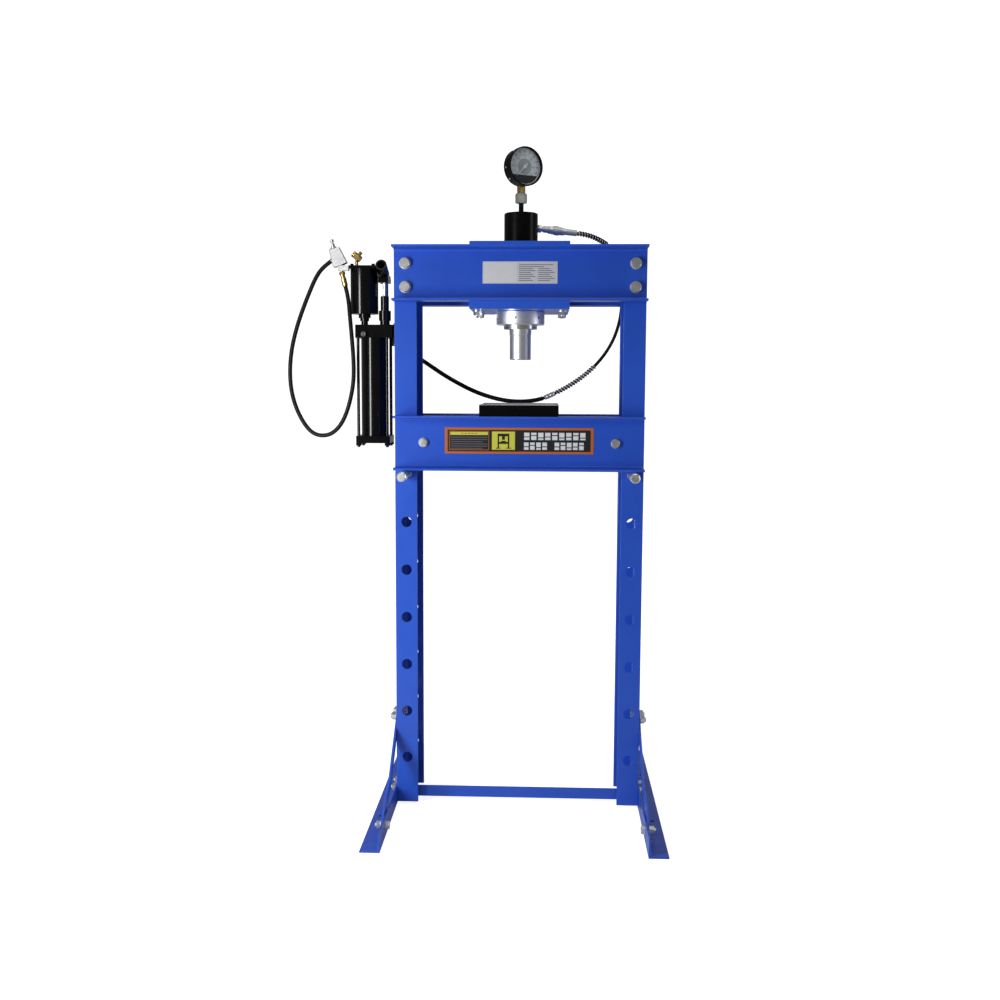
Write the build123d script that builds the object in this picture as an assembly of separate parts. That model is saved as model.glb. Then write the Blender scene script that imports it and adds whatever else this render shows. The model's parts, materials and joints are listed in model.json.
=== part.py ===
"""Hydraulic shop press with an air-over-oil pump, in millimetres.

+Z is up, +X is the operator's right and the operator stands at -Y.
The origin is on the floor, midway between the two posts and midway
between the front and the back of the frame.
"""
from build123d import *
import math
import os

os.makedirs("parts", exist_ok=True)

# ---------------------------------------------------------------- frame sizes
FRAME_WIDTH = 650.0          # over the backs of the two post channels
POST_DEPTH = 150.0           # post channel, front to back
POST_FLANGE = 58.0
POST_WALL = 6.0
POST_BOTTOM = 8.0            # the posts hang this far off the floor on the feet
POST_TOP = 1483.0            # level with the top of the head beams
BEAM_HEIGHT = 140.0          # channel of the head beams and of the bed
BEAM_FLANGE = 58.0
BEAM_WALL = 6.0
ROOT_RADIUS = 8.0            # inside corner of a rolled channel
TOE_RADIUS = 3.0             # inner edge of a channel flange
EDGE_RADIUS = 1.2            # outer corners of rolled bars
PLATE_EDGE = 0.8             # ground edge of cut plates

FOOT_LENGTH = 800.0
FOOT_LEG = 50.0
FOOT_WALL = 5.0
ANCHOR_HOLE = 12.0
ANCHOR_OFFSET = 29.0         # anchor hole from the back of the post
ANCHOR_SPACING = 348.0       # front to back
FOOT_BOLT_SPACING = 54.0     # front to back
FOOT_BOLT_HEIGHT = 31.0

BRACE_WIDTH = 30.0
BRACE_THICKNESS = 5.0
BRACE_TOP_HEIGHT = 231.0
BRACE_FOOT_SPACING = 584.0   # front to back, between the two lower brace bolts
BRACE_FOOT_HEIGHT = 28.0
BRACE_STEP = 60.0            # length over which the brace steps out
BRACE_CLEAR = 4.0            # between the step's end and the foot's upright leg

CROSS_BAR_LEG = 30.0
CROSS_BAR_WALL = 4.0
CROSS_BAR_BOTTOM = 14.0
CROSS_BAR_Y = -47.0          # its upright leg is in front of the foot bolts
END_PLATE_THICKNESS = 6.0
END_PLATE_DEPTH = 96.0

# ------------------------------------------------------------- fastener sizes
HEAD_BOLT = 16.0             # head beams to posts
HEAD_BOLT_RISES = (37.0, 97.0)     # above the beams' underside
FRAME_BOLT = 12.0            # feet, braces, bed ties and head studs
PUMP_SCREW = 10.0
BOLT_HOLE_PLAY = 1.0         # a bolt hole is this much wider than its bolt
THREAD_PLAY = 0.1            # a nut's bore is this much wider than its bolt
ACROSS_FLATS = {8.0: 13.0, 10.0: 16.0, 12.0: 19.0, 16.0: 24.0}
WASHER = {12.0: (24.0, 2.5), 16.0: (30.0, 3.0)}
HEAD_RATIO = 0.64            # bolt head height over bolt diameter
NUT_RATIO = 0.85             # nut height over bolt diameter
BOLT_STICKOUT = 4.0          # thread showing past a nut

# ------------------------------------------------------------------ bed sizes
BED_BELOW_HEAD = 433.0       # bed's underside below the head beams, on the top row
BED_END_GAP = 2.0            # the bed is this much shorter than the frame, each end
BED_SIDE_PLAY = 0.8          # bed web to post flange, each side
TIE_INSET = 75.0             # from the back of the post
SPACER_DIAMETER = 17.0
PIN_DIAMETER = 25.0
PIN_HOLE = 28.0
PIN_SEAT_GAP = 0.3           # loose pin below the bed's underside
PIN_PITCH = 127.5
PIN_LOWEST = 120.0           # no row of pin holes is lower than this
PIN_OVERHANG_FRONT = 46.2    # past the bed channels
PIN_OVERHANG_BACK = 34.2
PIN_CHAMFER = 2.5

ARBOR_WIDTH = 102.0          # one plate, left to right
ARBOR_DEPTH = 250.0
ARBOR_THICKNESS = 30.0
ARBOR_NOTCH = 52.0           # wide notch in a plate's outer edge
ARBOR_NOTCH_SMALL = 30.0     # narrow notch in its inner edge
ARBOR_EDGE = 1.0

# ----------------------------------------------------------- head and the ram
HEAD_PLATE_WIDTH = 254.0
TOP_PLATE_THICKNESS = 8.0
BOTTOM_PLATE_THICKNESS = 21.0
STUD_X = 110.0
STUD_INSET = 15.0            # behind the web of each head beam
STUD_STICKOUT = 1.3

CYLINDER_DIAMETER = 88.0
CYLINDER_WALL = 8.0
CYLINDER_BELOW = 67.0        # its open end is below the head beams
CYLINDER_LENGTH = 300.0
CYLINDER_CAP = 20.0
SHOULDER_STEP = 8.0          # shoulder wider than the cylinder, all round
SHOULDER_HEIGHT = 15.0
COLLAR_WALL = 19.5
COLLAR_HEIGHT = 35.0
COLLAR_HOLE = 6.0
COLLAR_HOLE_DEPTH = 14.0
COLLAR_HOLES = 6
GLAND_HEIGHT = 54.0
RAM_DIAMETER = 58.0
RAM_BORE = 40.0
RAM_SHOWING = 15.0           # of the rod, below the cylinder, when it is up
RAM_LENGTH = 224.0           # rod, from its tip to its piston
RAM_STEP = 4.0               # the piston's seat is smaller than the rod, all round
PISTON_HEIGHT = 20.0
SEAL_HEIGHT = 6.0
SEAL_DEPTH = 4.0
RAM_TIP_STEP = 1.0           # tip smaller than the rod, all round
RAM_TIP_LENGTH = 65.0
SPIGOT_HEIGHT = 25.0
FIT = 0.05                   # radial clearance of a running fit
SPRING_RADIUS = 14.0
SPRING_WIRE = 5.0
SPRING_TURNS = 16

PORT_BELOW_TOP = 33.0
PORT_TURN = 20.0             # degrees from +X towards the back
PORT_DROP = 4.0              # degrees down
PORT_BORE = 8.0
COUPLER_END = 113.0          # coupler line, cylinder wall to the hose's cut end

# ---------------------------------------------------------------- gauge sizes
GAUGE_PIPE = 13.0
GAUGE_PIPE_LENGTH = 26.0
UNION_NUT = 27.0
UNION_LENGTH = 25.0
STEM_SQUARE = 16.0
STEM_LENGTH = 27.0
GAUGE_TURN = 32.0            # degrees the dial looks to the right of the front
GAUGE_BACK = 9.0             # case back behind the stem's axis
STEM_DEEP = 8.0              # stem inside the case
GAUGE_DEPTH = 31.0
CASE_DIAMETER = 96.0
CASE_WALL = 1.5
BEZEL_DIAMETER = 100.0
BEZEL_OPENING = 94.0
BEZEL_DEPTH = 9.0
DIAL_DEPTH = 17.0            # dial face in front of the stem's axis
DIAL_THICKNESS = 1.2
NEEDLE_GAP = 1.8
NEEDLE_THICKNESS = 1.0
NEEDLE_LENGTH = 35.0
NEEDLE_TAIL = 11.0
ARBOR_PIN = 3.0
NEEDLE_ZERO = 225.0          # degrees from the dial's right, lower left
GLASS_THICKNESS = 2.5

# ----------------------------------------------------------------- pump sizes
PUMP_PLATE_THICKNESS = 6.0
PUMP_PLATE_DEPTH = 96.0
PUMP_PLATE_HEIGHT = 40.0
BLOCK_LENGTH = 102.0
BLOCK_DEPTH = 90.0
BLOCK_BELOW_HEAD = 231.0     # its underside, below the top of the posts
BLOCK_HEIGHT = 34.0
BLOCK_CORNER = 4.0
RESERVOIR_OUT = 57.0         # from the mounting plate to its axis
RESERVOIR_DIAMETER = 68.0
RESERVOIR_WALL = 3.0
RESERVOIR_LENGTH = 258.0
END_BLOCK = 90.0
END_BLOCK_HEIGHT = 19.0
TIE_ROD = 8.0
TIE_ROD_SPACING = 76.0
TIE_ROD_DEPTH = 12.0         # thread into the pump block
SUCTION_PIPE = 10.0
SUCTION_BORE = 6.0
SUCTION_CLEAR = 16.0         # open end above the reservoir's floor

MOTOR_GAP = 1.5              # between the motor and the hand pump's barrel
MOTOR_DIAMETER = 73.0
MOTOR_WALL = 4.0
MOTOR_LENGTH = 125.0
MOTOR_BASE_HEIGHT = 11.0
MOTOR_HEAD_HEIGHT = 8.0
MOTOR_HEAD_CORNER = 3.0
MOTOR_NECKS = ((32.0, 10.0), (24.0, 8.0), (18.0, 11.0))     # diameter, height, from the top
MOTOR_ROD = 11.0
MOTOR_PISTON_HEIGHT = 14.0
MOTOR_STROKE = 24.0
PISTON_REST_GAP = 6.0        # piston below the head at rest
MOTOR_ROD_GAP = 4.0          # rod's end above the pump block at rest

BREATHER_INSET = 20.0        # left of the motor's axis
BREATHER_STEM = 8.0
BREATHER_TILT = (-0.78, 0, 0.62)

HAND_PUMP_OUT = 29.0         # from the mounting plate to its axis
BARREL_STEPS = ((26.0, 12.0), (32.0, 26.0), (22.0, 38.0))   # diameter, height, from the block
BARREL_ARM = 12.0
BARREL_ARM_HEIGHT = 20.0
PLUNGER_DIAMETER = 10.0
PLUNGER_EYE = 13.0
PLUNGER_LIFT = 24.0          # its lower end above the block at rest
PLUNGER_FLOOR_LIFT = 6.0     # bottom of its bore above the block's top
LEVER_PIN = 8.0
LEVER_PIN_RISE = 42.0        # above the barrel
FULCRUM_Y = 22.0
EYE_WIDTH = 12.0
CHEEK_GAP = 1.0
CHEEK_THICKNESS = 6.0
PIN_SLACK = 1.5              # open pivot: the plunger pin's play in the lever
SOCKET_DIAMETER = 29.0
SOCKET_BORE = 21.0
SOCKET_LENGTH = 56.0
SOCKET_FLOOR = 10.0          # solid inner end of the socket
SOCKET_TILT = 20.0
CHEEK_FRONT = -16.0          # cheeks, front end
CHEEK_LOW = 8.0              # below the pins
CHEEK_HIGH = 12.0            # above the pins
LEVER_HEAD_DEPTH = 12.0      # solid head that joins the cheeks to the socket
LEVER_HEAD_HIGH = 22.0

VALVE_KNOB = 14.0
VALVE_KNOB_OUT = 78.0        # from the mounting plate
VALVE_KNOB_RISE = 9.0        # above the block's underside
VALVE_KNOB_LENGTH = 13.0
VALVE_STEM = 7.0
VALVE_STEM_DEPTH = 14.0
KNOB_GAP = 1.0
OUTLET_OUT = 7.0             # oil outlet, from the mounting plate
OUTLET_Y = 20.0
OUTLET_STEM = 8.0
OUTLET_DEPTH = 8.0
OUTLET_BODY = 12.0
OUTLET_DROP = 14.0
OUTLET_REACH = 42.0

# ------------------------------------------------------------ air valve sizes
VALVE_TILT = 14.0            # degrees, the top leans to the left
VALVE_OUT = 33.7             # its middle, from the motor's side
VALVE_Y = -26.0
VALVE_RISE = 20.0            # its middle, above the motor's head
VALVE_SIZE = 24.0
VALVE_LENGTH = 48.0
NIPPLE_BORE = 5.0
AIR_OUTLET_LENGTH = 16.0     # from the valve's middle to the hose
AIR_OUTLET_DROP = 34.8       # degrees below the level, to the left
AIR_OUTLET_COLLAR = 13.0     # from the valve's middle
LEVER_SHEET = 1.5
LEVER_PLAY = 0.4
VALVE_LEVER_TILT = 28.0
VALVE_LEVER_LENGTH = 40.0
VALVE_LEVER_DEPTH = 14.0
INLET_OUT = 19.5             # air hose fitting, from the motor's side
INLET_DROP = 14.0            # block's underside, below the motor's head
INLET_LENGTH = 40.0
INLET_HALF_DEPTH = 9.0

# ---------------------------------------------------------------------- hoses
HOSE_DIAMETER = 9.0
SLEEVE_DIAMETER = 12.0
GUARD_DIAMETER = 14.0
FERRULE_DIAMETER = 15.0
AIR_HOSE_DIAMETER = 11.0
PRESSURE_HOSE = (
    (-338.0, 62.0, 1238.0), (-338.0, 92.0, 1238.0), (-330.0, 125.0, 1232.0),
    (-306.0, 150.0, 1215.0), (-266.0, 158.0, 1189.0), (-205.0, 155.0, 1148.0),
    (-122.0, 151.0, 1105.0), (-36.0, 150.0, 1082.0), (43.0, 150.0, 1085.0),
    (101.0, 150.0, 1109.0), (160.0, 150.0, 1144.0), (210.0, 151.0, 1187.0),
    (249.0, 152.0, 1241.0), (271.0, 154.0, 1301.0), (278.0, 158.0, 1366.0),
    (279.0, 164.0, 1425.0), (271.0, 161.0, 1468.0), (257.0, 139.0, 1497.0),
    (233.0, 107.0, 1507.0), (206.0, 81.0, 1520.0), (174.4, 63.5, 1530.0),
    (146.2, 53.2, 1532.1),
)
AIR_HOSE = (
    (-497.3, -26.0, 1450.9), (-519.0, -26.0, 1435.8), (-538.0, -26.5, 1409.5),
    (-556.0, -27.5, 1369.0), (-574.0, -29.0, 1324.0), (-591.0, -30.5, 1275.0),
    (-604.5, -32.0, 1219.0), (-609.0, -35.0, 1163.0), (-605.0, -38.0, 1110.0),
    (-590.0, -41.0, 1060.0), (-564.0, -44.0, 1015.0), (-538.0, -46.0, 995.0),
    (-504.0, -48.5, 995.0), (-478.0, -49.5, 1014.0), (-459.0, -50.5, 1046.0),
    (-445.0, -51.0, 1090.0), (-436.0, -51.0, 1140.0),
    (-436.0, -51.0, 1195.0), (-441.0, -48.0, 1256.0), (-447.0, -39.0, 1310.0),
    (-452.6, -26.0, 1356.2), (-460.3, -26.0, 1387.2),
)
SLEEVE_PLAY = 0.1            # sleeves and guards round the pressure hose
SLEEVE_END = 64.0            # X where the long sleeve meets the joint ferrule
JOINT_END = 94.0             # X where the ferrule meets the lower guard
GUARD_END = 205.0            # X of the lower guard's far end
TOP_GUARD_END = 228.0        # X of the upper guard's far end

# --------------------------------------------------------------------- plates
NAME_PLATE = (192.0, 1.0, 56.0)
NAME_PLATE_RISE = 4.0        # its middle above the beam's middle
PANEL = (387.0, 1.0, 68.0)
PANEL_RISE = 5.7             # its middle above the bed's middle

# ------------------------------------------------------------ derived places
POST_X = FRAME_WIDTH / 2
PIN_X = POST_X - POST_FLANGE / 2
BEAM_BACK = POST_DEPTH / 2
BEAM_TOP = POST_TOP
BEAM_BOTTOM = BEAM_TOP - BEAM_HEIGHT
BEAM_MIDDLE = BEAM_TOP - BEAM_HEIGHT / 2
HEAD_BOLT_ROWS = [BEAM_BOTTOM + rise for rise in HEAD_BOLT_RISES]
BED_UNDERSIDE = BEAM_BOTTOM - BED_BELOW_HEAD
BED_TOP = BED_UNDERSIDE + BEAM_HEIGHT
BED_MIDDLE = BED_UNDERSIDE + BEAM_HEIGHT / 2
BED_BACK = BEAM_BACK + BED_SIDE_PLAY
BED_LENGTH = FRAME_WIDTH - 2 * BED_END_GAP
TIE_X = POST_X - TIE_INSET
PIN_FRONT = -BED_BACK - BEAM_FLANGE - PIN_OVERHANG_FRONT
PIN_BACK = BED_BACK + BEAM_FLANGE + PIN_OVERHANG_BACK
PIN_HEIGHT = BED_UNDERSIDE - PIN_SEAT_GAP - PIN_DIAMETER / 2
PIN_ROWS = 1 + int((PIN_HEIGHT - PIN_LOWEST) // PIN_PITCH)
POST_HOLES = [PIN_HEIGHT - PIN_PITCH * row for row in range(PIN_ROWS)]
FOOT_BOLT_Y = FOOT_BOLT_SPACING / 2

HEAD_PLATE_DEPTH = 2 * (BEAM_BACK + BEAM_FLANGE)
STUD_Y = BEAM_BACK - STUD_INSET
COLLAR_TOP = BEAM_BOTTOM - BOTTOM_PLATE_THICKNESS
CYLINDER_BORE = CYLINDER_DIAMETER - 2 * CYLINDER_WALL
CYLINDER_BOTTOM = BEAM_BOTTOM - CYLINDER_BELOW
CYLINDER_TOP = CYLINDER_BOTTOM + CYLINDER_LENGTH
SHOULDER_DIAMETER = CYLINDER_DIAMETER + 2 * SHOULDER_STEP
COLLAR_DIAMETER = CYLINDER_DIAMETER + 2 * COLLAR_WALL
RAM_SHOULDER = CYLINDER_BOTTOM - RAM_SHOWING     # joint between the rod and its tip
RAM_TIP_BOTTOM = RAM_SHOULDER - RAM_TIP_LENGTH
RAM_TIP_DIAMETER = RAM_DIAMETER - 2 * RAM_TIP_STEP
RAM_THREAD = RAM_DIAMETER - 2 * RAM_STEP
PISTON_BOTTOM = RAM_SHOULDER + RAM_LENGTH
PORT_HEIGHT = CYLINDER_TOP - PORT_BELOW_TOP
GAUGE_PIPE_TOP = CYLINDER_TOP + GAUGE_PIPE_LENGTH
UNION_TOP = GAUGE_PIPE_TOP + UNION_LENGTH
STEM_TOP = UNION_TOP + STEM_LENGTH
GAUGE_HEIGHT = STEM_TOP + CASE_DIAMETER / 2 - STEM_DEEP

BLOCK_BOTTOM = POST_TOP - BLOCK_BELOW_HEAD
BLOCK_TOP = BLOCK_BOTTOM + BLOCK_HEIGHT
BLOCK_RIGHT = -POST_X - PUMP_PLATE_THICKNESS
BLOCK_LEFT = BLOCK_RIGHT - BLOCK_LENGTH
BLOCK_MIDDLE = BLOCK_BOTTOM + BLOCK_HEIGHT / 2
RESERVOIR_X = BLOCK_RIGHT - RESERVOIR_OUT
END_BLOCK_TOP = BLOCK_BOTTOM - RESERVOIR_LENGTH
END_BLOCK_BOTTOM = END_BLOCK_TOP - END_BLOCK_HEIGHT
HAND_PUMP_X = BLOCK_RIGHT - HAND_PUMP_OUT
BARREL_RADIUS = max(diameter for diameter, height in BARREL_STEPS) / 2
BARREL_TOP = BLOCK_TOP + sum(height for diameter, height in BARREL_STEPS)
LEVER_PIN_HEIGHT = BARREL_TOP + LEVER_PIN_RISE
MOTOR_X = HAND_PUMP_X - BARREL_RADIUS - MOTOR_GAP - MOTOR_DIAMETER / 2
MOTOR_SIDE = MOTOR_X - MOTOR_DIAMETER / 2
MOTOR_BASE_BOTTOM = BLOCK_TOP + sum(height for diameter, height in MOTOR_NECKS)
MOTOR_HEAD_TOP = MOTOR_BASE_BOTTOM + MOTOR_LENGTH
MOTOR_TUBE_BOTTOM = MOTOR_BASE_BOTTOM + MOTOR_BASE_HEIGHT
MOTOR_TUBE_TOP = MOTOR_HEAD_TOP - MOTOR_HEAD_HEIGHT
MOTOR_BORE = MOTOR_DIAMETER - 2 * MOTOR_WALL
MOTOR_PISTON_TOP = MOTOR_TUBE_TOP - PISTON_REST_GAP
BREATHER_X = MOTOR_X - BREATHER_INSET
VALVE_KNOB_X = BLOCK_RIGHT - VALVE_KNOB_OUT
VALVE_KNOB_HEIGHT = BLOCK_BOTTOM + VALVE_KNOB_RISE
OUTLET_X = BLOCK_RIGHT - OUTLET_OUT
VALVE_CENTRE = (MOTOR_SIDE - VALVE_OUT, VALVE_Y, MOTOR_HEAD_TOP + VALVE_RISE)
INLET_X = MOTOR_SIDE - INLET_OUT
INLET_BOTTOM = MOTOR_HEAD_TOP - INLET_DROP
TIE_RODS = [
    (RESERVOIR_X + sx * TIE_ROD_SPACING / 2, sy * TIE_ROD_SPACING / 2)
    for sx in (-1, 1)
    for sy in (-1, 1)
]
SIDES = (-1, 1)
UP = (0, 0, 1)


# -------------------------------------------------------------------- helpers
def rod(diameter, start, end):
    """A round bar between two points."""
    line = Vector(*end) - Vector(*start)
    place = Plane(origin=start, z_dir=line)
    base = (Align.CENTER, Align.CENTER, Align.MIN)
    return place * Cylinder(diameter / 2, line.length, align=base)


def pipe(outside, inside, start, end):
    """A round tube between two points."""
    return rod(outside, start, end) - rod(inside, start, end)


def block(x, y, z):
    """A box from its low and high limits on each axis."""
    corner = (Align.MIN, Align.MIN, Align.MIN)
    size = Box(x[1] - x[0], y[1] - y[0], z[1] - z[0], align=corner)
    return Pos(x[0], y[0], z[0]) * size


def hexagon(across_flats, start, end):
    """A hexagonal prism between two points, with both ends chamfered."""
    line = Vector(*end) - Vector(*start)
    place = Plane(origin=start, z_dir=line)
    outline = RegularPolygon(across_flats / 2, 6, major_radius=False)
    prism = extrude(outline, line.length)
    corner = across_flats / math.sqrt(3)
    limit = Cylinder(corner, line.length, align=(Align.CENTER, Align.CENTER, Align.MIN))
    edge = min(corner - across_flats / 2, line.length / 4)
    return place * (prism & chamfer(limit.edges().filter_by(GeomType.CIRCLE), edge))


def along(start, direction, distance):
    """The point that lies a distance from start along a direction."""
    return tuple(Vector(*start) + Vector(*direction).normalized() * distance)


def bolt(diameter, seat, direction, grip):
    """Bolt, washer under its head, washer and nut. The seat is where the
    clamped pieces start, and grip is their total thickness."""
    washer, sheet = WASHER[diameter]
    flats = ACROSS_FLATS[diameter]
    back = along(seat, direction, -sheet)
    far = along(seat, direction, grip)
    nut_seat = along(far, direction, sheet)
    nut_end = along(nut_seat, direction, diameter * NUT_RATIO)
    tip = along(nut_end, direction, BOLT_STICKOUT)
    head = hexagon(flats, along(back, direction, -diameter * HEAD_RATIO), back)
    shank = rod(diameter, back, tip)
    hole = rod(diameter + THREAD_PLAY, back, tip)
    washers = rod(washer, back, seat) + rod(washer, far, nut_seat)
    nut = hexagon(flats, nut_seat, nut_end) - hole
    return [head + shank, nut] + (washers - hole).solids()


def channel(depth, flange, wall):
    """Rolled channel outline: the web's back lies on the local Y axis and
    the flanges point along local +X."""
    half = depth / 2
    outline = Polygon(
        (0, -half), (flange, -half), (flange, wall - half), (wall, wall - half),
        (wall, half - wall), (flange, half - wall), (flange, half), (0, half),
        align=None,
    )
    roots = outline.vertices().filter_by(lambda v: 0 < v.X < flange)
    outline = fillet(roots, ROOT_RADIUS)
    toes = outline.vertices().filter_by(
        lambda v: abs(v.X - flange) < 0.01 and abs(v.Y) < half - 0.01
    )
    outline = fillet(toes, TOE_RADIUS)
    outside = outline.vertices().filter_by(lambda v: abs(abs(v.Y) - half) < 0.01)
    return fillet(outside, EDGE_RADIUS)


def angle_bar(leg, wall):
    """Equal angle outline with its outer corner at the local origin."""
    outline = Polygon(
        (0, 0), (leg, 0), (leg, wall), (wall, wall), (wall, leg), (0, leg), align=None
    )
    inner = outline.vertices().filter_by(lambda v: 0 < v.X < leg and 0 < v.Y < leg)
    outline = fillet(inner, wall)
    tips = outline.vertices().filter_by(lambda v: abs(v.X - leg) < 0.01 or abs(v.Y - leg) < 0.01)
    return fillet(tips, EDGE_RADIUS)


def save(name, *shapes):
    """Write one node: every shape given, as separate solids."""
    solids = [solid for shape in shapes for solid in shape.solids()]
    shape = solids[0] if len(solids) == 1 else Compound(children=solids)
    shape.label = name
    export_step(shape, f"parts/{name}.step")


def corner_radii(points):
    """The arc at each inner point of a hose: as large as its two runs allow."""
    radii = []
    for before, here, after in zip(points, points[1:], points[2:]):
        arriving = Vector(*here) - Vector(*before)
        leaving = Vector(*after) - Vector(*here)
        turn = math.radians(arriving.get_angle(leaving))
        shorter = min(arriving.length, leaving.length)
        radii.append(0.45 * shorter / math.tan(turn / 2))
    return radii


def hose_line(points, radii):
    """Straight runs joined by tangent arcs."""
    return FilletPolyline(*points, radius=radii)


def sweep_round(line, diameter, bore=0.0):
    """A round tube along a line, solid where no bore is given."""
    start = Plane(origin=line @ 0, z_dir=line % 0)
    outline = Circle(diameter / 2)
    if bore:
        outline = outline - Circle(bore / 2)
    return sweep(start * outline, path=line)


# ---------------------------------------------------------------------- frame
def post(side):
    outline = channel(POST_DEPTH, POST_FLANGE, POST_WALL)
    body = Pos(-POST_X, 0, POST_BOTTOM) * extrude(outline, POST_TOP - POST_BOTTOM)
    reach = POST_DEPTH
    for height in POST_HOLES:
        body -= rod(PIN_HOLE, (-PIN_X, -reach, height), (-PIN_X, reach, height))
    for height in HEAD_BOLT_ROWS:
        hole = HEAD_BOLT + BOLT_HOLE_PLAY
        body -= rod(hole, (-PIN_X, -reach, height), (-PIN_X, reach, height))
    web_holes = [(sy * FOOT_BOLT_Y, z) for sy in SIDES for z in (FOOT_BOLT_HEIGHT, BRACE_TOP_HEIGHT)]
    for y, z in web_holes:
        hole = FRAME_BOLT + BOLT_HOLE_PLAY
        body -= rod(hole, (-POST_X - 1, y, z), (-POST_X + POST_WALL + 1, y, z))
    if side > 0:
        return mirror(body, Plane.YZ)
    for y in pump_screw_places():
        start = (-POST_X - 1, y, BLOCK_MIDDLE)
        end = (-POST_X + POST_WALL + 1, y, BLOCK_MIDDLE)
        body -= rod(PUMP_SCREW + BOLT_HOLE_PLAY, start, end)
    return body


def cross_channel(length, back, middle, bolt_size, holes):
    """A channel lying across the front of the frame, flanges to the front."""
    outline = channel(BEAM_HEIGHT, BEAM_FLANGE, BEAM_WALL)
    place = Plane(origin=(0, -back, middle), x_dir=(0, -1, 0), z_dir=(-1, 0, 0))
    body = extrude(place * outline, length / 2, both=True)
    for x, z in holes:
        hole = bolt_size + BOLT_HOLE_PLAY
        body -= rod(hole, (x, -back - BEAM_FLANGE, z), (x, -back + 1, z))
    return body


def foot(side):
    """Angle iron with one leg flat on the floor, pointing away from the post,
    and the other standing against the post's web."""
    outline = angle_bar(FOOT_LEG, FOOT_WALL)
    place = Plane(origin=(POST_X, 0, 0), x_dir=(1, 0, 0), z_dir=(0, -1, 0))
    body = extrude(place * outline, FOOT_LENGTH / 2, both=True)
    reach = (POST_X - 1, POST_X + FOOT_WALL + 1)
    bolt_rows = [(FOOT_BOLT_Y, FOOT_BOLT_HEIGHT), (BRACE_FOOT_SPACING / 2, BRACE_FOOT_HEIGHT)]
    for y, z in bolt_rows:
        for sy in SIDES:
            hole = FRAME_BOLT + BOLT_HOLE_PLAY
            body -= rod(hole, (reach[0], sy * y, z), (reach[1], sy * y, z))
    for sy in SIDES:
        x, y = POST_X + ANCHOR_OFFSET, sy * ANCHOR_SPACING / 2
        body -= rod(ANCHOR_HOLE, (x, y, -1), (x, y, FOOT_WALL + 1))
    return mirror(body, Plane.YZ) if side < 0 else body


def brace(side_x, side_y):
    """Flat bar from the post down to the foot. It steps out by the foot's
    wall near its lower end, so that it lies flat on both."""
    run_y = BRACE_FOOT_SPACING / 2 - FOOT_BOLT_Y
    drop = BRACE_TOP_HEIGHT - BRACE_FOOT_HEIGHT
    length = math.hypot(run_y, drop)
    down = (0, run_y / length, -drop / length)
    top = (POST_X, FOOT_BOLT_Y, BRACE_TOP_HEIGHT)
    place = Plane(origin=top, x_dir=down, z_dir=Vector(*down).cross(Vector(1, 0, 0)))
    end = BRACE_WIDTH / 2
    t, s = BRACE_THICKNESS, FOOT_WALL
    rise = drop / length
    above = FOOT_LEG - BRACE_FOOT_HEIGHT + end * run_y / length
    step_end = length - above / rise - BRACE_CLEAR
    step_start = step_end - BRACE_STEP
    outline = Polygon(
        (-end, 0), (step_start, 0), (step_end, s), (length + end, s),
        (length + end, s + t), (step_end, s + t), (step_start, t), (-end, t),
        align=None,
    )
    bar = extrude(place * outline, BRACE_WIDTH / 2, both=True)
    hole = FRAME_BOLT + BOLT_HOLE_PLAY
    reach = (POST_X - 1, POST_X + s + t + 1)
    bar -= rod(hole, (reach[0], FOOT_BOLT_Y, BRACE_TOP_HEIGHT), (reach[1], FOOT_BOLT_Y, BRACE_TOP_HEIGHT))
    foot_y = BRACE_FOOT_SPACING / 2
    bar -= rod(hole, (reach[0], foot_y, BRACE_FOOT_HEIGHT), (reach[1], foot_y, BRACE_FOOT_HEIGHT))
    if side_x < 0:
        bar = mirror(bar, Plane.YZ)
    return mirror(bar, Plane.XZ) if side_y < 0 else bar


def cross_bar():
    """Angle iron between the posts, with a bolted plate at each end."""
    inside = POST_X - POST_WALL
    outline = angle_bar(CROSS_BAR_LEG, CROSS_BAR_WALL)
    place = Plane(origin=(0, CROSS_BAR_Y, CROSS_BAR_BOTTOM), x_dir=(0, 1, 0), z_dir=(1, 0, 0))
    bar = extrude(place * outline, inside - END_PLATE_THICKNESS, both=True)
    half = END_PLATE_DEPTH / 2
    for side in SIDES:
        ends = sorted((side * inside, side * (inside - END_PLATE_THICKNESS)))
        height = (CROSS_BAR_BOTTOM, CROSS_BAR_BOTTOM + CROSS_BAR_LEG)
        plate = block(ends, (-half, half), height)
        for sy in SIDES:
            y, z = sy * FOOT_BOLT_Y, FOOT_BOLT_HEIGHT
            plate -= rod(FRAME_BOLT + BOLT_HOLE_PLAY, (ends[0] - 1, y, z), (ends[1] + 1, y, z))
        bar = bar + plate
    return bar


def foot_fasteners():
    pieces = []
    for side in SIDES:
        out = (side, 0, 0)
        web_inside = side * (POST_X - POST_WALL)
        for sy in SIDES:
            seat = (web_inside - side * END_PLATE_THICKNESS, sy * FOOT_BOLT_Y, FOOT_BOLT_HEIGHT)
            pieces += bolt(FRAME_BOLT, seat, out, END_PLATE_THICKNESS + POST_WALL + FOOT_WALL)
            seat = (web_inside, sy * FOOT_BOLT_Y, BRACE_TOP_HEIGHT)
            pieces += bolt(FRAME_BOLT, seat, out, POST_WALL + BRACE_THICKNESS)
            seat = (side * POST_X, sy * BRACE_FOOT_SPACING / 2, BRACE_FOOT_HEIGHT)
            pieces += bolt(FRAME_BOLT, seat, out, FOOT_WALL + BRACE_THICKNESS)
    return pieces


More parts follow.
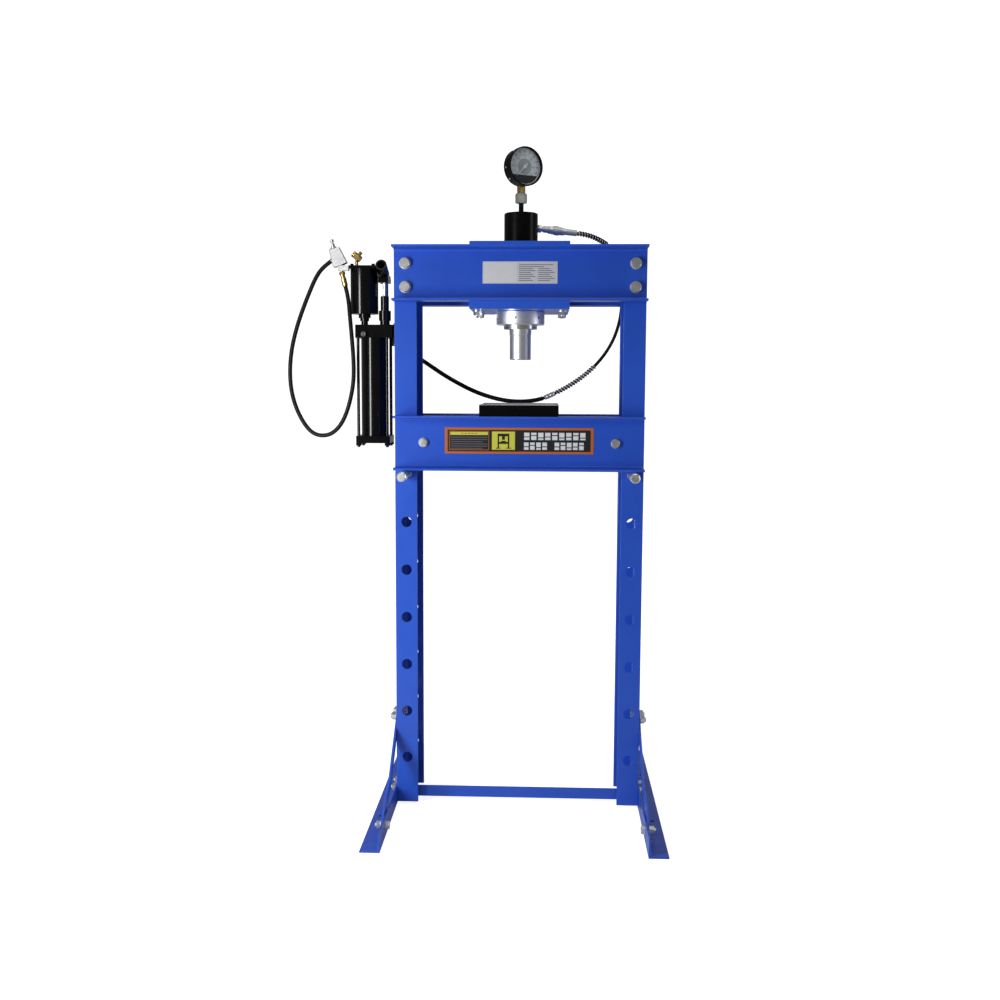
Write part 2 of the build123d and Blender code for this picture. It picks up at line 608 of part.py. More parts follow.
def beam_fasteners():
    """Bolts go in from the outside, with their nuts inside the posts."""
    grip = BEAM_WALL + POST_WALL
    seats = [
        (sx * PIN_X, sy * (BEAM_BACK + BEAM_WALL), z)
        for sx in SIDES for sy in SIDES for z in HEAD_BOLT_ROWS
    ]
    pieces = []
    for seat in seats:
        inward = (0, -math.copysign(1, seat[1]), 0)
        pieces += bolt(HEAD_BOLT, seat, inward, grip)
    return pieces


# ------------------------------------------------------------------------ bed
def bed_ties():
    """Each tie is a long bolt through both bed channels, with a spacer tube
    between their webs."""
    pieces = []
    for side in SIDES:
        x = side * TIE_X
        seat = (x, -BED_BACK - BEAM_WALL, BED_MIDDLE)
        pieces += bolt(FRAME_BOLT, seat, (0, 1, 0), 2 * (BED_BACK + BEAM_WALL))
        bore = FRAME_BOLT + THREAD_PLAY
        pieces.append(pipe(SPACER_DIAMETER, bore, (x, -BED_BACK, BED_MIDDLE), (x, BED_BACK, BED_MIDDLE)))
    return pieces


def bed_pin(side):
    x = side * PIN_X
    pin = rod(PIN_DIAMETER, (x, PIN_FRONT, PIN_HEIGHT), (x, PIN_BACK, PIN_HEIGHT))
    return chamfer(pin.edges().filter_by(GeomType.CIRCLE), PIN_CHAMFER)


def arbor_plate(side):
    """Loose plate with a wide V notch in its outer edge and a narrow one in
    its inner edge, to straddle a shaft."""
    x = sorted((0.0, side * ARBOR_WIDTH))
    half = ARBOR_DEPTH / 2
    height = (BED_TOP, BED_TOP + ARBOR_THICKNESS)
    plate = chamfer(block(x, (-half, half), height).edges(), ARBOR_EDGE)
    for edge, width in ((side * ARBOR_WIDTH, ARBOR_NOTCH), (0.0, ARBOR_NOTCH_SMALL)):
        inward = -side if edge else side
        notch = Polygon(
            (edge - inward, -width / 2 - 1), (edge - inward, width / 2 + 1),
            (edge + inward * width / 2, 0), align=None,
        )
        plate -= Pos(0, 0, BED_TOP - 1) * extrude(notch, ARBOR_THICKNESS + 2, dir=UP)
    return plate


# ------------------------------------------------------------- head and ram
def head_plate(bottom, thickness):
    x, y = HEAD_PLATE_WIDTH / 2, HEAD_PLATE_DEPTH / 2
    plate = block((-x, x), (-y, y), (bottom, bottom + thickness))
    plate = chamfer(plate.edges(), PLATE_EDGE)
    plate -= rod(CYLINDER_DIAMETER, (0, 0, bottom - 1), (0, 0, bottom + thickness + 1))
    for sx in SIDES:
        for sy in SIDES:
            start = (sx * STUD_X, sy * STUD_Y, bottom - 1)
            plate -= rod(FRAME_BOLT + THREAD_PLAY, start, along(start, UP, thickness + 2))
    return plate


def head_studs():
    """Studs screwed into the top plate, flush with it, and nutted below the
    bottom plate."""
    washer, sheet = WASHER[FRAME_BOLT]
    top = BEAM_TOP + TOP_PLATE_THICKNESS
    nut_top = COLLAR_TOP - sheet
    nut_bottom = nut_top - FRAME_BOLT * NUT_RATIO
    tip = nut_bottom - STUD_STICKOUT
    pieces = []
    for sx in SIDES:
        for sy in SIDES:
            x, y = sx * STUD_X, sy * STUD_Y
            stud = rod(FRAME_BOLT, (x, y, tip), (x, y, top))
            hole = rod(FRAME_BOLT + THREAD_PLAY, (x, y, tip), (x, y, top))
            nut = hexagon(ACROSS_FLATS[FRAME_BOLT], (x, y, nut_bottom), (x, y, nut_top)) - hole
            ring = rod(washer, (x, y, nut_top), (x, y, COLLAR_TOP)) - hole
            pieces += [stud, nut, ring]
    return pieces


def port_direction():
    turn, drop = math.radians(PORT_TURN), math.radians(PORT_DROP)
    level = math.cos(drop)
    return (math.cos(turn) * level, math.sin(turn) * level, -math.sin(drop))


def ram_cylinder():
    body = rod(CYLINDER_DIAMETER, (0, 0, CYLINDER_BOTTOM), (0, 0, CYLINDER_TOP))
    top_edge = body.edges().filter_by(GeomType.CIRCLE).sort_by(Axis.Z)[-1]
    body = chamfer(top_edge, 2.0)
    body += rod(SHOULDER_DIAMETER, (0, 0, BEAM_BOTTOM), (0, 0, BEAM_BOTTOM + SHOULDER_HEIGHT))
    cap = CYLINDER_TOP - CYLINDER_CAP
    body -= rod(CYLINDER_BORE, (0, 0, CYLINDER_BOTTOM - 1), (0, 0, cap))
    centre = (0, 0, PORT_HEIGHT)
    body -= rod(PORT_BORE, centre, along(centre, port_direction(), CYLINDER_DIAMETER))
    body -= rod(PORT_BORE, (0, 0, cap - 1), (0, 0, CYLINDER_TOP + 1))
    return body


def collar_ring():
    bottom = COLLAR_TOP - COLLAR_HEIGHT
    ring = rod(COLLAR_DIAMETER, (0, 0, bottom), (0, 0, COLLAR_TOP))
    ring = chamfer(ring.edges().filter_by(GeomType.CIRCLE), 1.5)
    ring -= rod(CYLINDER_DIAMETER, (0, 0, bottom - 1), (0, 0, COLLAR_TOP + 1))
    for index in range(COLLAR_HOLES):
        turn = math.radians(-100 + 360 / COLLAR_HOLES * index)
        outward = (math.cos(turn), math.sin(turn), 0)
        middle = (0, 0, (bottom + COLLAR_TOP) / 2)
        rim = along(middle, outward, COLLAR_DIAMETER / 2 + 1)
        ring -= rod(COLLAR_HOLE, rim, along(rim, outward, -COLLAR_HOLE_DEPTH - 1))
    return ring


def cylinder_gland():
    bottom, top = CYLINDER_BOTTOM, CYLINDER_BOTTOM + GLAND_HEIGHT
    return pipe(CYLINDER_BORE, RAM_DIAMETER + 2 * FIT, (0, 0, bottom), (0, 0, top))


def ram_rod():
    top = PISTON_BOTTOM + PISTON_HEIGHT
    body = rod(RAM_DIAMETER, (0, 0, RAM_SHOULDER), (0, 0, PISTON_BOTTOM))
    body += rod(RAM_THREAD, (0, 0, PISTON_BOTTOM), (0, 0, top))
    return body - rod(RAM_BORE, (0, 0, RAM_SHOULDER - 1), (0, 0, top + 1))


def seal_groove():
    middle = PISTON_BOTTOM + PISTON_HEIGHT / 2
    low, high = middle - SEAL_HEIGHT / 2, middle + SEAL_HEIGHT / 2
    outside = CYLINDER_BORE - 2 * FIT
    return pipe(outside, outside - 2 * SEAL_DEPTH, (0, 0, low), (0, 0, high))


def ram_piston():
    outside = CYLINDER_BORE - 2 * FIT
    top = PISTON_BOTTOM + PISTON_HEIGHT
    return pipe(outside, RAM_THREAD, (0, 0, PISTON_BOTTOM), (0, 0, top)) - seal_groove()


def ram_tip():
    tip = rod(RAM_TIP_DIAMETER, (0, 0, RAM_TIP_BOTTOM), (0, 0, RAM_SHOULDER))
    tip = chamfer(tip.edges().filter_by(GeomType.CIRCLE), 1.5)
    return tip + rod(RAM_BORE, (0, 0, RAM_SHOULDER), (0, 0, RAM_SHOULDER + SPIGOT_HEIGHT))


def return_spring():
    """Tension spring inside the hollow ram, between tip and cylinder cap."""
    low = RAM_SHOULDER + SPIGOT_HEIGHT + SPRING_WIRE / 2
    high = CYLINDER_TOP - CYLINDER_CAP - SPRING_WIRE / 2
    coil = Helix((high - low) / SPRING_TURNS, high - low, SPRING_RADIUS)
    wire = Plane(origin=coil @ 0, z_dir=coil % 0) * Circle(SPRING_WIRE / 2)
    return Pos(0, 0, low) * sweep(wire, path=coil, is_frenet=True)


def port_fittings():
    """Adapter, quick coupler in two halves and the hose's crimped end, in line
    with the cylinder's oil port."""
    direction = port_direction()
    centre = (0, 0, PORT_HEIGHT)
    wall = CYLINDER_DIAMETER / 2 - 1

    def at(distance):
        return along(centre, direction, wall + distance)

    adapter = hexagon(19, at(4), at(13)) + rod(13, at(1.5), at(19))
    male = rod(17, at(19), at(34)) + hexagon(19, at(34), at(43))
    female = rod(21, at(43), at(70)) + rod(24, at(50), at(62)) + hexagon(19, at(70), at(79))
    crimp = rod(16, at(79), at(COUPLER_END))
    bore = rod(5, at(1), at(COUPLER_END - 8))
    hull = rod(CYLINDER_DIAMETER, (0, 0, CYLINDER_BOTTOM), (0, 0, CYLINDER_TOP))
    return [piece - bore - hull for piece in (adapter, male, female, crimp)]


# ---------------------------------------------------------------------- gauge
def gauge_plane():
    turn = math.radians(GAUGE_TURN)
    normal = (math.sin(turn), -math.cos(turn), 0)
    across = (math.cos(turn), math.sin(turn), 0)
    return Plane(origin=(0, 0, GAUGE_HEIGHT), x_dir=across, z_dir=normal)


def disc(diameter, low, high):
    """A disc of the gauge, between two depths in front of the stem's axis."""
    base = (Align.CENTER, Align.CENTER, Align.MIN)
    return Pos(0, 0, low) * Cylinder(diameter / 2, high - low, align=base)


def gauge_pieces():
    front = GAUGE_DEPTH - GAUGE_BACK
    bezel_back = front - BEZEL_DEPTH + 3
    inner = CASE_DIAMETER - 2 * CASE_WALL
    case = disc(CASE_DIAMETER, -GAUGE_BACK, front)
    case -= disc(inner, -GAUGE_BACK + CASE_WALL, front + 1)
    glass_back = front
    bezel = disc(BEZEL_DIAMETER, bezel_back, front + GLASS_THICKNESS + 2)
    bezel = fillet(bezel.edges().filter_by(GeomType.CIRCLE).sort_by(Axis.Z)[-1], 1.5)
    bezel -= disc(BEZEL_OPENING, bezel_back - 1, front + 9)
    bezel -= disc(CASE_DIAMETER, bezel_back - 1, front + GLASS_THICKNESS)
    glass = disc(CASE_DIAMETER - 1, glass_back, glass_back + GLASS_THICKNESS)
    dial = disc(inner, DIAL_DEPTH - DIAL_THICKNESS, DIAL_DEPTH)
    dial -= disc(ARBOR_PIN + 2 * FIT, DIAL_DEPTH - 4, DIAL_DEPTH + 1)
    needle_back = DIAL_DEPTH + NEEDLE_GAP
    needle_front = needle_back + NEEDLE_THICKNESS
    blade = Polygon(
        (-NEEDLE_TAIL, -2.4), (0, -1.8), (NEEDLE_LENGTH, -0.4),
        (NEEDLE_LENGTH, 0.4), (0, 1.8), (-NEEDLE_TAIL, 2.4), align=None,
    )
    needle = Pos(0, 0, needle_back) * extrude(blade, NEEDLE_THICKNESS)
    needle += disc(9, needle_back, needle_front + 1.2)
    needle += disc(ARBOR_PIN, DIAL_DEPTH - 8, needle_back)
    needle = Rot(0, 0, NEEDLE_ZERO) * needle
    place = gauge_plane()
    placed = {"case": case, "bezel": bezel, "glass": glass, "dial": dial, "needle": needle}
    placed = {name: place * piece for name, piece in placed.items()}
    half = STEM_SQUARE / 2
    stem = block((-half, half), (-half, half), (UNION_TOP, STEM_TOP))
    stem = Rot(0, 0, GAUGE_TURN) * stem
    placed["case"] -= stem
    placed["stem"] = stem
    return placed


def union_nut():
    nut = hexagon(UNION_NUT, (0, 0, GAUGE_PIPE_TOP), (0, 0, UNION_TOP))
    return nut - rod(PORT_BORE, (0, 0, GAUGE_PIPE_TOP - 1), (0, 0, UNION_TOP + 1))


# ----------------------------------------------------------------------- pump
def pump_screw_places():
    return (-PUMP_PLATE_DEPTH / 4, PUMP_PLATE_DEPTH / 4)


def pump_plate():
    """Plate between the pump block and the post's web, with the two screws
    that clamp the pump from inside the post."""
    half_y, half_z = PUMP_PLATE_DEPTH / 2, PUMP_PLATE_HEIGHT / 2
    height = (BLOCK_MIDDLE - half_z, BLOCK_MIDDLE + half_z)
    plate = block((BLOCK_RIGHT, -POST_X), (-half_y, half_y), height)
    pieces = []
    for y in pump_screw_places():
        head = (-POST_X + POST_WALL, y, BLOCK_MIDDLE)
        tip = (BLOCK_RIGHT - 1.8 * PUMP_SCREW, y, BLOCK_MIDDLE)
        cap = hexagon(ACROSS_FLATS[PUMP_SCREW], head, along(head, (1, 0, 0), PUMP_SCREW * HEAD_RATIO))
        plate -= rod(PUMP_SCREW + BOLT_HOLE_PLAY, head, tip)
        pieces.append(cap + rod(PUMP_SCREW, tip, head))
    return [plate] + pieces


def pump_block():
    half = BLOCK_DEPTH / 2
    body = block((BLOCK_LEFT, BLOCK_RIGHT), (-half, half), (BLOCK_BOTTOM, BLOCK_TOP))
    body = chamfer(body.edges().filter_by(Axis.Z), BLOCK_CORNER)
    body = chamfer(body.edges().group_by(Axis.Z)[-1], PLATE_EDGE)
    for x, y in TIE_RODS:
        body -= rod(TIE_ROD, (x, y, BLOCK_BOTTOM - 1), (x, y, BLOCK_BOTTOM + TIE_ROD_DEPTH))
    for y in pump_screw_places():
        tip = (BLOCK_RIGHT - 1.8 * PUMP_SCREW, y, BLOCK_MIDDLE)
        body -= rod(PUMP_SCREW, (BLOCK_RIGHT + 1, y, BLOCK_MIDDLE), tip)
    body -= rod(SUCTION_PIPE, suction_top(), (RESERVOIR_X, 0, BLOCK_BOTTOM - 1))
    chamber = BLOCK_TOP - MOTOR_STROKE
    body -= rod(MOTOR_ROD + 2 * FIT, (MOTOR_X, 0, chamber), (MOTOR_X, 0, BLOCK_TOP + 1))
    valve = (VALVE_KNOB_X, -half, VALVE_KNOB_HEIGHT)
    body -= rod(VALVE_STEM + 2 * FIT, valve, along(valve, (0, 1, 0), VALVE_STEM_DEPTH + 2))
    outlet = (OUTLET_X, OUTLET_Y, BLOCK_BOTTOM)
    return body - rod(OUTLET_STEM, outlet, along(outlet, UP, OUTLET_DEPTH))


def suction_top():
    return (RESERVOIR_X, 0, BLOCK_BOTTOM + 10)


def suction_pipe():
    low = END_BLOCK_TOP + SUCTION_CLEAR
    return pipe(SUCTION_PIPE, SUCTION_BORE, (RESERVOIR_X, 0, low), suction_top())


def reservoir_tube():
    bore = RESERVOIR_DIAMETER - 2 * RESERVOIR_WALL
    return pipe(RESERVOIR_DIAMETER, bore, (RESERVOIR_X, 0, END_BLOCK_TOP), (RESERVOIR_X, 0, BLOCK_BOTTOM))


def reservoir_end():
    half = END_BLOCK / 2
    x = (RESERVOIR_X - half, RESERVOIR_X + half)
    body = block(x, (-half, half), (END_BLOCK_BOTTOM, END_BLOCK_TOP))
    body = chamfer(body.edges().filter_by(Axis.Z), BLOCK_CORNER)
    body = chamfer(body.edges().group_by(Axis.Z)[0], PLATE_EDGE)
    for x, y in TIE_RODS:
        body -= rod(TIE_ROD + BOLT_HOLE_PLAY, (x, y, END_BLOCK_BOTTOM - 1), (x, y, END_BLOCK_TOP + 1))
    return body


def reservoir_rods():
    pieces = []
    for x, y in TIE_RODS:
        nut_bottom = END_BLOCK_BOTTOM - TIE_ROD * NUT_RATIO
        tip = (x, y, nut_bottom - BOLT_STICKOUT)
        top = (x, y, BLOCK_BOTTOM + TIE_ROD_DEPTH)
        nut = hexagon(ACROSS_FLATS[TIE_ROD], (x, y, nut_bottom), (x, y, END_BLOCK_BOTTOM))
        pieces += [rod(TIE_ROD, tip, top), nut - rod(TIE_ROD + THREAD_PLAY, tip, top)]
    return pieces


def outlet_elbow():
    """Elbow below the block that turns the oil line towards the back."""
    low = BLOCK_BOTTOM - OUTLET_DROP
    end = OUTLET_Y + OUTLET_REACH
    top = (OUTLET_X, OUTLET_Y, BLOCK_BOTTOM)
    body = rod(OUTLET_BODY, (OUTLET_X, OUTLET_Y, low - OUTLET_BODY / 2), top)
    body += rod(OUTLET_STEM, top, along(top, UP, OUTLET_DEPTH))
    body += rod(OUTLET_BODY, (OUTLET_X, OUTLET_Y, low), (OUTLET_X, end, low))
    return body + rod(OUTLET_BODY + 1.5, (OUTLET_X, end - 16, low), (OUTLET_X, end - 6, low))


# ------------------------------------------------------------------ air motor
def motor_head():
    half = MOTOR_DIAMETER / 2
    x = (MOTOR_X - half, MOTOR_X + half)
    body = block(x, (-half, half), (MOTOR_TUBE_TOP, MOTOR_HEAD_TOP))
    body = fillet(body.edges().filter_by(Axis.Z), MOTOR_HEAD_CORNER)
    body = chamfer(body.edges().group_by(Axis.Z)[-1], PLATE_EDGE)
    x = BREATHER_X
    return body - rod(BREATHER_STEM, (x, 0, MOTOR_TUBE_TOP - 1), (x, 0, MOTOR_HEAD_TOP + 1))


def motor_tube():
    ends = (MOTOR_X, 0, MOTOR_TUBE_BOTTOM), (MOTOR_X, 0, MOTOR_TUBE_TOP)
    return pipe(MOTOR_DIAMETER, MOTOR_BORE, *ends)


def motor_base():
    """Bottom flange with a stepped neck that stands on the pump block."""
    body = rod(MOTOR_DIAMETER, (MOTOR_X, 0, MOTOR_BASE_BOTTOM), (MOTOR_X, 0, MOTOR_TUBE_BOTTOM))
    top = MOTOR_BASE_BOTTOM
    for diameter, height in MOTOR_NECKS:
        body += rod(diameter, (MOTOR_X, 0, top - height), (MOTOR_X, 0, top))
        top -= height
    return body - rod(MOTOR_ROD + 2 * FIT, (MOTOR_X, 0, BLOCK_TOP - 1), (MOTOR_X, 0, MOTOR_TUBE_BOTTOM + 1))


def motor_piston():
    low = MOTOR_PISTON_TOP - MOTOR_PISTON_HEIGHT
    body = rod(MOTOR_BORE - 2 * FIT, (MOTOR_X, 0, low), (MOTOR_X, 0, MOTOR_PISTON_TOP))
    return body + rod(MOTOR_ROD, (MOTOR_X, 0, BLOCK_TOP + MOTOR_ROD_GAP), (MOTOR_X, 0, low))


def breather():
    """Brass tee on the motor's head, with a black plug in its side."""
    foot_point = (BREATHER_X, 0, MOTOR_TUBE_TOP + 2)
    middle = (BREATHER_X + 2, 0, MOTOR_HEAD_TOP + 24)
    body = rod(BREATHER_STEM, foot_point, (BREATHER_X, 0, MOTOR_HEAD_TOP + 18))
    tilt = BREATHER_TILT
    body += hexagon(15, along(middle, tilt, -11), along(middle, tilt, 9))
    body += rod(9, middle, along(middle, (tilt[2], 0, -tilt[0]), 17))
    plug = rod(17, along(middle, tilt, 9), along(middle, tilt, 15))
    return [body, plug]


# ------------------------------------------------------------------ hand pump
def hand_barrel():
    """Barrel on the pump block, with a rear arm that carries the lever's
    fulcrum pin."""
    x = HAND_PUMP_X
    half = EYE_WIDTH / 2
    low = BLOCK_TOP
    arm_low = BLOCK_TOP + BARREL_STEPS[0][1]
    arm_y = (FULCRUM_Y - BARREL_ARM / 2, FULCRUM_Y + BARREL_ARM / 2)
    body = block((x - half, x + half), arm_y, (arm_low, LEVER_PIN_HEIGHT))
    body += block((x - half, x + half), (BARREL_ARM / 2, arm_y[1]), (arm_low, arm_low + BARREL_ARM_HEIGHT))
    for diameter, height in BARREL_STEPS:
        body += rod(diameter, (x, 0, low), (x, 0, low + height))
        low += height
    eye = (x - half, FULCRUM_Y, LEVER_PIN_HEIGHT)
    body += rod(BARREL_ARM, eye, along(eye, (1, 0, 0), EYE_WIDTH))
    body -= rod(LEVER_PIN, eye, along(eye, (1, 0, 0), EYE_WIDTH))
    floor = BLOCK_TOP + PLUNGER_FLOOR_LIFT
    return body - rod(PLUNGER_DIAMETER + 2 * FIT, (x, 0, floor), (x, 0, BARREL_TOP))


def cheek_span():
    """Half widths of the lever's two cheeks, inside and outside."""
    inside = EYE_WIDTH / 2 + CHEEK_GAP
    return inside, inside + CHEEK_THICKNESS


def cross_pin(y, reach):
    x, z = HAND_PUMP_X, LEVER_PIN_HEIGHT
    return rod(LEVER_PIN, (x - reach, y, z), (x + reach, y, z))


def hand_plunger():
    """Plunger with an eye at its top and the pin that drives it."""
    x = HAND_PUMP_X
    half = EYE_WIDTH / 2
    low = BLOCK_TOP + PLUNGER_LIFT
    body = rod(PLUNGER_DIAMETER, (x, 0, low), (x, 0, LEVER_PIN_HEIGHT - LEVER_PIN / 2))
    body += rod(PLUNGER_EYE, (x - half, 0, LEVER_PIN_HEIGHT), (x + half, 0, LEVER_PIN_HEIGHT))
    hole = cross_pin(0, half + 1)
    return [body - hole, cross_pin(0, cheek_span()[1])]


def handle_socket():
    """Pump lever: two cheeks on the fulcrum pin and a socket for the bar."""
    x, z = HAND_PUMP_X, LEVER_PIN_HEIGHT
    inside, outside = cheek_span()
    pieces = None
    for side in SIDES:
        span = sorted((x + side * inside, x + side * outside))
        cheek = block(span, (CHEEK_FRONT, FULCRUM_Y), (z - CHEEK_LOW, z + CHEEK_HIGH))
        cheek += rod(2 * CHEEK_LOW, (span[0], FULCRUM_Y, z), (span[1], FULCRUM_Y, z))
        pieces = cheek if pieces is None else pieces + cheek
    head = (CHEEK_FRONT - LEVER_HEAD_DEPTH, CHEEK_FRONT)
    pieces += block((x - outside, x + outside), head, (z - CHEEK_LOW, z + LEVER_HEAD_HIGH))
    tilt = math.radians(SOCKET_TILT)
    forward = (0, -math.cos(tilt), math.sin(tilt))
    start = (x, CHEEK_FRONT + 2, z + SOCKET_DIAMETER / 2 + 0.5)
    end = along(start, forward, SOCKET_LENGTH)
    pieces += rod(SOCKET_DIAMETER, start, end)
    pieces -= rod(SOCKET_BORE, along(start, forward, SOCKET_FLOOR), along(end, forward, 1))
    pieces -= block((x - inside, x + inside), (CHEEK_FRONT, FULCRUM_Y + 20), (z - 30, z + 60))
    ends = (x - outside - 1, FULCRUM_Y, z), (x + outside + 1, FULCRUM_Y, z)
    pieces -= rod(LEVER_PIN + 2 * FIT, *ends)
    slack = LEVER_PIN + 2 * PIN_SLACK
    pieces -= rod(slack, (x - outside - 1, 0, z), (x + outside + 1, 0, z))
    return pieces


# --------------------------------------------------------------- small valves
def release_valve():
    x, z = VALVE_KNOB_X, VALVE_KNOB_HEIGHT
    back = -BLOCK_DEPTH / 2 - KNOB_GAP
    front = back - VALVE_KNOB_LENGTH
    body = rod(VALVE_KNOB, (x, front, z), (x, back, z))
    body = chamfer(body.edges().filter_by(GeomType.CIRCLE), 1.0)
    body -= block((x - 1.2, x + 1.2), (front - 1, front + 3), (z - VALVE_KNOB, z + VALVE_KNOB))
    return body + rod(VALVE_STEM, (x, back - 1, z), (x, VALVE_STEM_DEPTH - BLOCK_DEPTH / 2, z))


def valve_plane():
    """Local Z runs up the air valve's axis, local X is across it."""
    tilt = math.radians(VALVE_TILT)
    axis = (-math.sin(tilt), 0, math.cos(tilt))
    across = (math.cos(tilt), 0, math.sin(tilt))
    return Plane(origin=VALVE_CENTRE, x_dir=across, z_dir=axis)


def local_rod(diameter, low, high):
    return rod(diameter, (0, 0, low), (0, 0, high))


def air_valve():
    """Square valve body with an inlet nipple on top and a side outlet."""
    half, end = VALVE_SIZE / 2, VALVE_LENGTH / 2
    body = block((-half, half), (-half, half), (-end, end))
    body = chamfer(body.edges(), 1.5)
    nipple = local_rod(16, end, end + 4) + local_rod(10, end + 4, end + 12)
    nipple += local_rod(7, end + 12, end + 17) + local_rod(10, end + 17, end + 24)
    nipple -= local_rod(NIPPLE_BORE, end + 1, end + 25)
    place = valve_plane()
    body, nipple = place * body, place * nipple
    drop = math.radians(AIR_OUTLET_DROP)
    way = (-math.cos(drop), 0, -math.sin(drop))
    outlet = rod(12, VALVE_CENTRE, along(VALVE_CENTRE, way, AIR_OUTLET_LENGTH))
    outlet += rod(14, VALVE_CENTRE, along(VALVE_CENTRE, way, AIR_OUTLET_COLLAR))
    return [body + outlet + lever_pin(), nipple]


def valve_lever():
    """Sheet lever: two cheeks beside the valve body, hinged near its top, and
    a web that the thumb presses."""
    half = VALVE_SIZE / 2 + LEVER_PLAY
    wide = half + LEVER_SHEET
    depth, length = VALVE_LEVER_DEPTH, VALVE_LEVER_LENGTH
    shell = block((-depth / 2, depth / 2), (-wide, wide), (-length, 5))
    hollow = block((-depth, depth / 2 - LEVER_SHEET), (-half, half), (-length - 1, 6))
    place = lever_plane()
    lever = place * (shell - hollow)
    pin_hole = place * rod(4 + 2 * FIT, (0, -wide - 1, 0), (0, wide + 1, 0))
    return lever - pin_hole


def lever_plane():
    """The air lever's pivot: its pin lies along Y near the valve's top."""
    pivot = valve_plane().from_local_coords((VALVE_SIZE / 2 - 3, 0, VALVE_LENGTH / 2 - 6))
    tilt = math.radians(VALVE_LEVER_TILT)
    axis = (-math.sin(tilt), 0, math.cos(tilt))
    return Plane(origin=pivot, x_dir=(math.cos(tilt), 0, math.sin(tilt)), z_dir=axis)


def lever_pin():
    wide = VALVE_SIZE / 2 + LEVER_PLAY + LEVER_SHEET
    return lever_plane() * rod(4, (0, -wide - 1, 0), (0, wide + 1, 0))


def inlet_block():
    """Block on the side of the motor's head. The valve stands on it and the
    air hose comes up into it."""
    edge = MOTOR_SIDE
    place = valve_plane()
    half, end = VALVE_SIZE / 2 - 1.5, VALVE_LENGTH / 2
    middle = place.from_local_coords((0, 0, -end))
    corner = place.from_local_coords((half, 0, -end))
    outline = Polyline(
        (edge, 0, MOTOR_HEAD_TOP), (edge, 0, INLET_BOTTOM), (middle.X, 0, INLET_BOTTOM),
        (middle.X, 0, middle.Z), (corner.X, 0, corner.Z), close=True,
    )
    body = extrude(make_face(outline), INLET_HALF_DEPTH, dir=(0, 1, 0), both=True)
    return Pos(0, VALVE_CENTRE[1], 0) * body


def air_fittings():
    """Nut and brass ferrule under the inlet block, and the ferrule that holds
    the hose's other end on the valve."""
    tilt = math.radians(VALVE_TILT)
    down = (math.sin(tilt), 0, -math.cos(tilt))
    start = (INLET_X, VALVE_CENTRE[1], INLET_BOTTOM)
    upper = rod(9, start, along(start, down, 6))
    nut = hexagon(14, along(start, down, 3), along(start, down, 10))
    brass = rod(12, along(start, down, 10), along(start, down, 20))
    brass += rod(14, along(start, down, 20), along(start, down, INLET_LENGTH))
    inside = region(z=(INLET_BOTTOM, INLET_BOTTOM + INLET_LENGTH))
    return [upper + nut - inside, brass]


# ---------------------------------------------------------------------- hoses
def region(x=(-900, 900), z=(0, 2000)):
    return block(x, (-900, 900), z)


def hose_sleeves(line):
    """What the pressure hose wears: a long sleeve up to a joint ferrule, and a
    spring guard at the ferrule and at the cylinder end."""
    bore = HOSE_DIAMETER + 2 * SLEEVE_PLAY
    low = (0, BEAM_BOTTOM)
    sleeve = sweep_round(line, SLEEVE_DIAMETER, bore)
    joint = sweep_round(line, FERRULE_DIAMETER, bore)
    guard = sweep_round(line, GUARD_DIAMETER, bore)
    return [
        sleeve & region((-900, SLEEVE_END), low),
        joint & region((SLEEVE_END, JOINT_END), low),
        guard & region((JOINT_END, GUARD_END), low),
        guard & region((0, TOP_GUARD_END), (BEAM_TOP, 2000)),
    ]


def plate_on_web(size, web_face, height):
    """A thin plate on the front face of a channel's web."""
    half_x, half_z = size[0] / 2, size[2] / 2
    return block((-half_x, half_x), (-web_face - size[1], -web_face), (height - half_z, height + half_z))


# ------------------------------------------------------------------ the nodes
beam_holes = [(sx * PIN_X, z) for sx in SIDES for z in HEAD_BOLT_ROWS]
tie_holes = [(sx * TIE_X, BED_MIDDLE) for sx in SIDES]
front_beam = cross_channel(FRAME_WIDTH, BEAM_BACK, BEAM_MIDDLE, HEAD_BOLT, beam_holes)
front_bed = cross_channel(BED_LENGTH, BED_BACK, BED_MIDDLE, FRAME_BOLT, tie_holes)
gauge = gauge_pieces()
pressure_radii = corner_radii(PRESSURE_HOSE)
air_radii = corner_radii(AIR_HOSE)
pressure_line = hose_line(PRESSURE_HOSE, pressure_radii)
air_line = hose_line(AIR_HOSE, air_radii)
pressure_tube = sweep_round(pressure_line, HOSE_DIAMETER)
air_tube = sweep_round(air_line, AIR_HOSE_DIAMETER)

save("left_post", post(-1))
save("right_post", post(1))
save("front_top_beam", front_beam)
save("rear_top_beam", mirror(front_beam, Plane.XZ))
save("top_beam_bolts", *beam_fasteners())
save("lower_cross_bar", cross_bar())
save("left_foot", foot(-1))
save("right_foot", foot(1))
save("foot_braces", *[brace(sx, sy) for sx in SIDES for sy in SIDES])
save("foot_bolts", *foot_fasteners())
save("name_plate", plate_on_web(NAME_PLATE, BEAM_BACK + BEAM_WALL, BEAM_MIDDLE + NAME_PLATE_RISE))

save("head_top_plate", head_plate(BEAM_TOP, TOP_PLATE_THICKNESS))
save("head_bottom_plate", head_plate(COLLAR_TOP, BOTTOM_PLATE_THICKNESS))
save("head_studs", *head_studs())
save("ram_cylinder", ram_cylinder())
save("collar_ring", collar_ring())
save("cylinder_gland", cylinder_gland())
save("ram_rod", ram_rod())
save("ram_tip", ram_tip())
save("ram_piston", ram_piston(), seal_groove())
save("return_spring", return_spring())
save("port_fittings", *port_fittings())

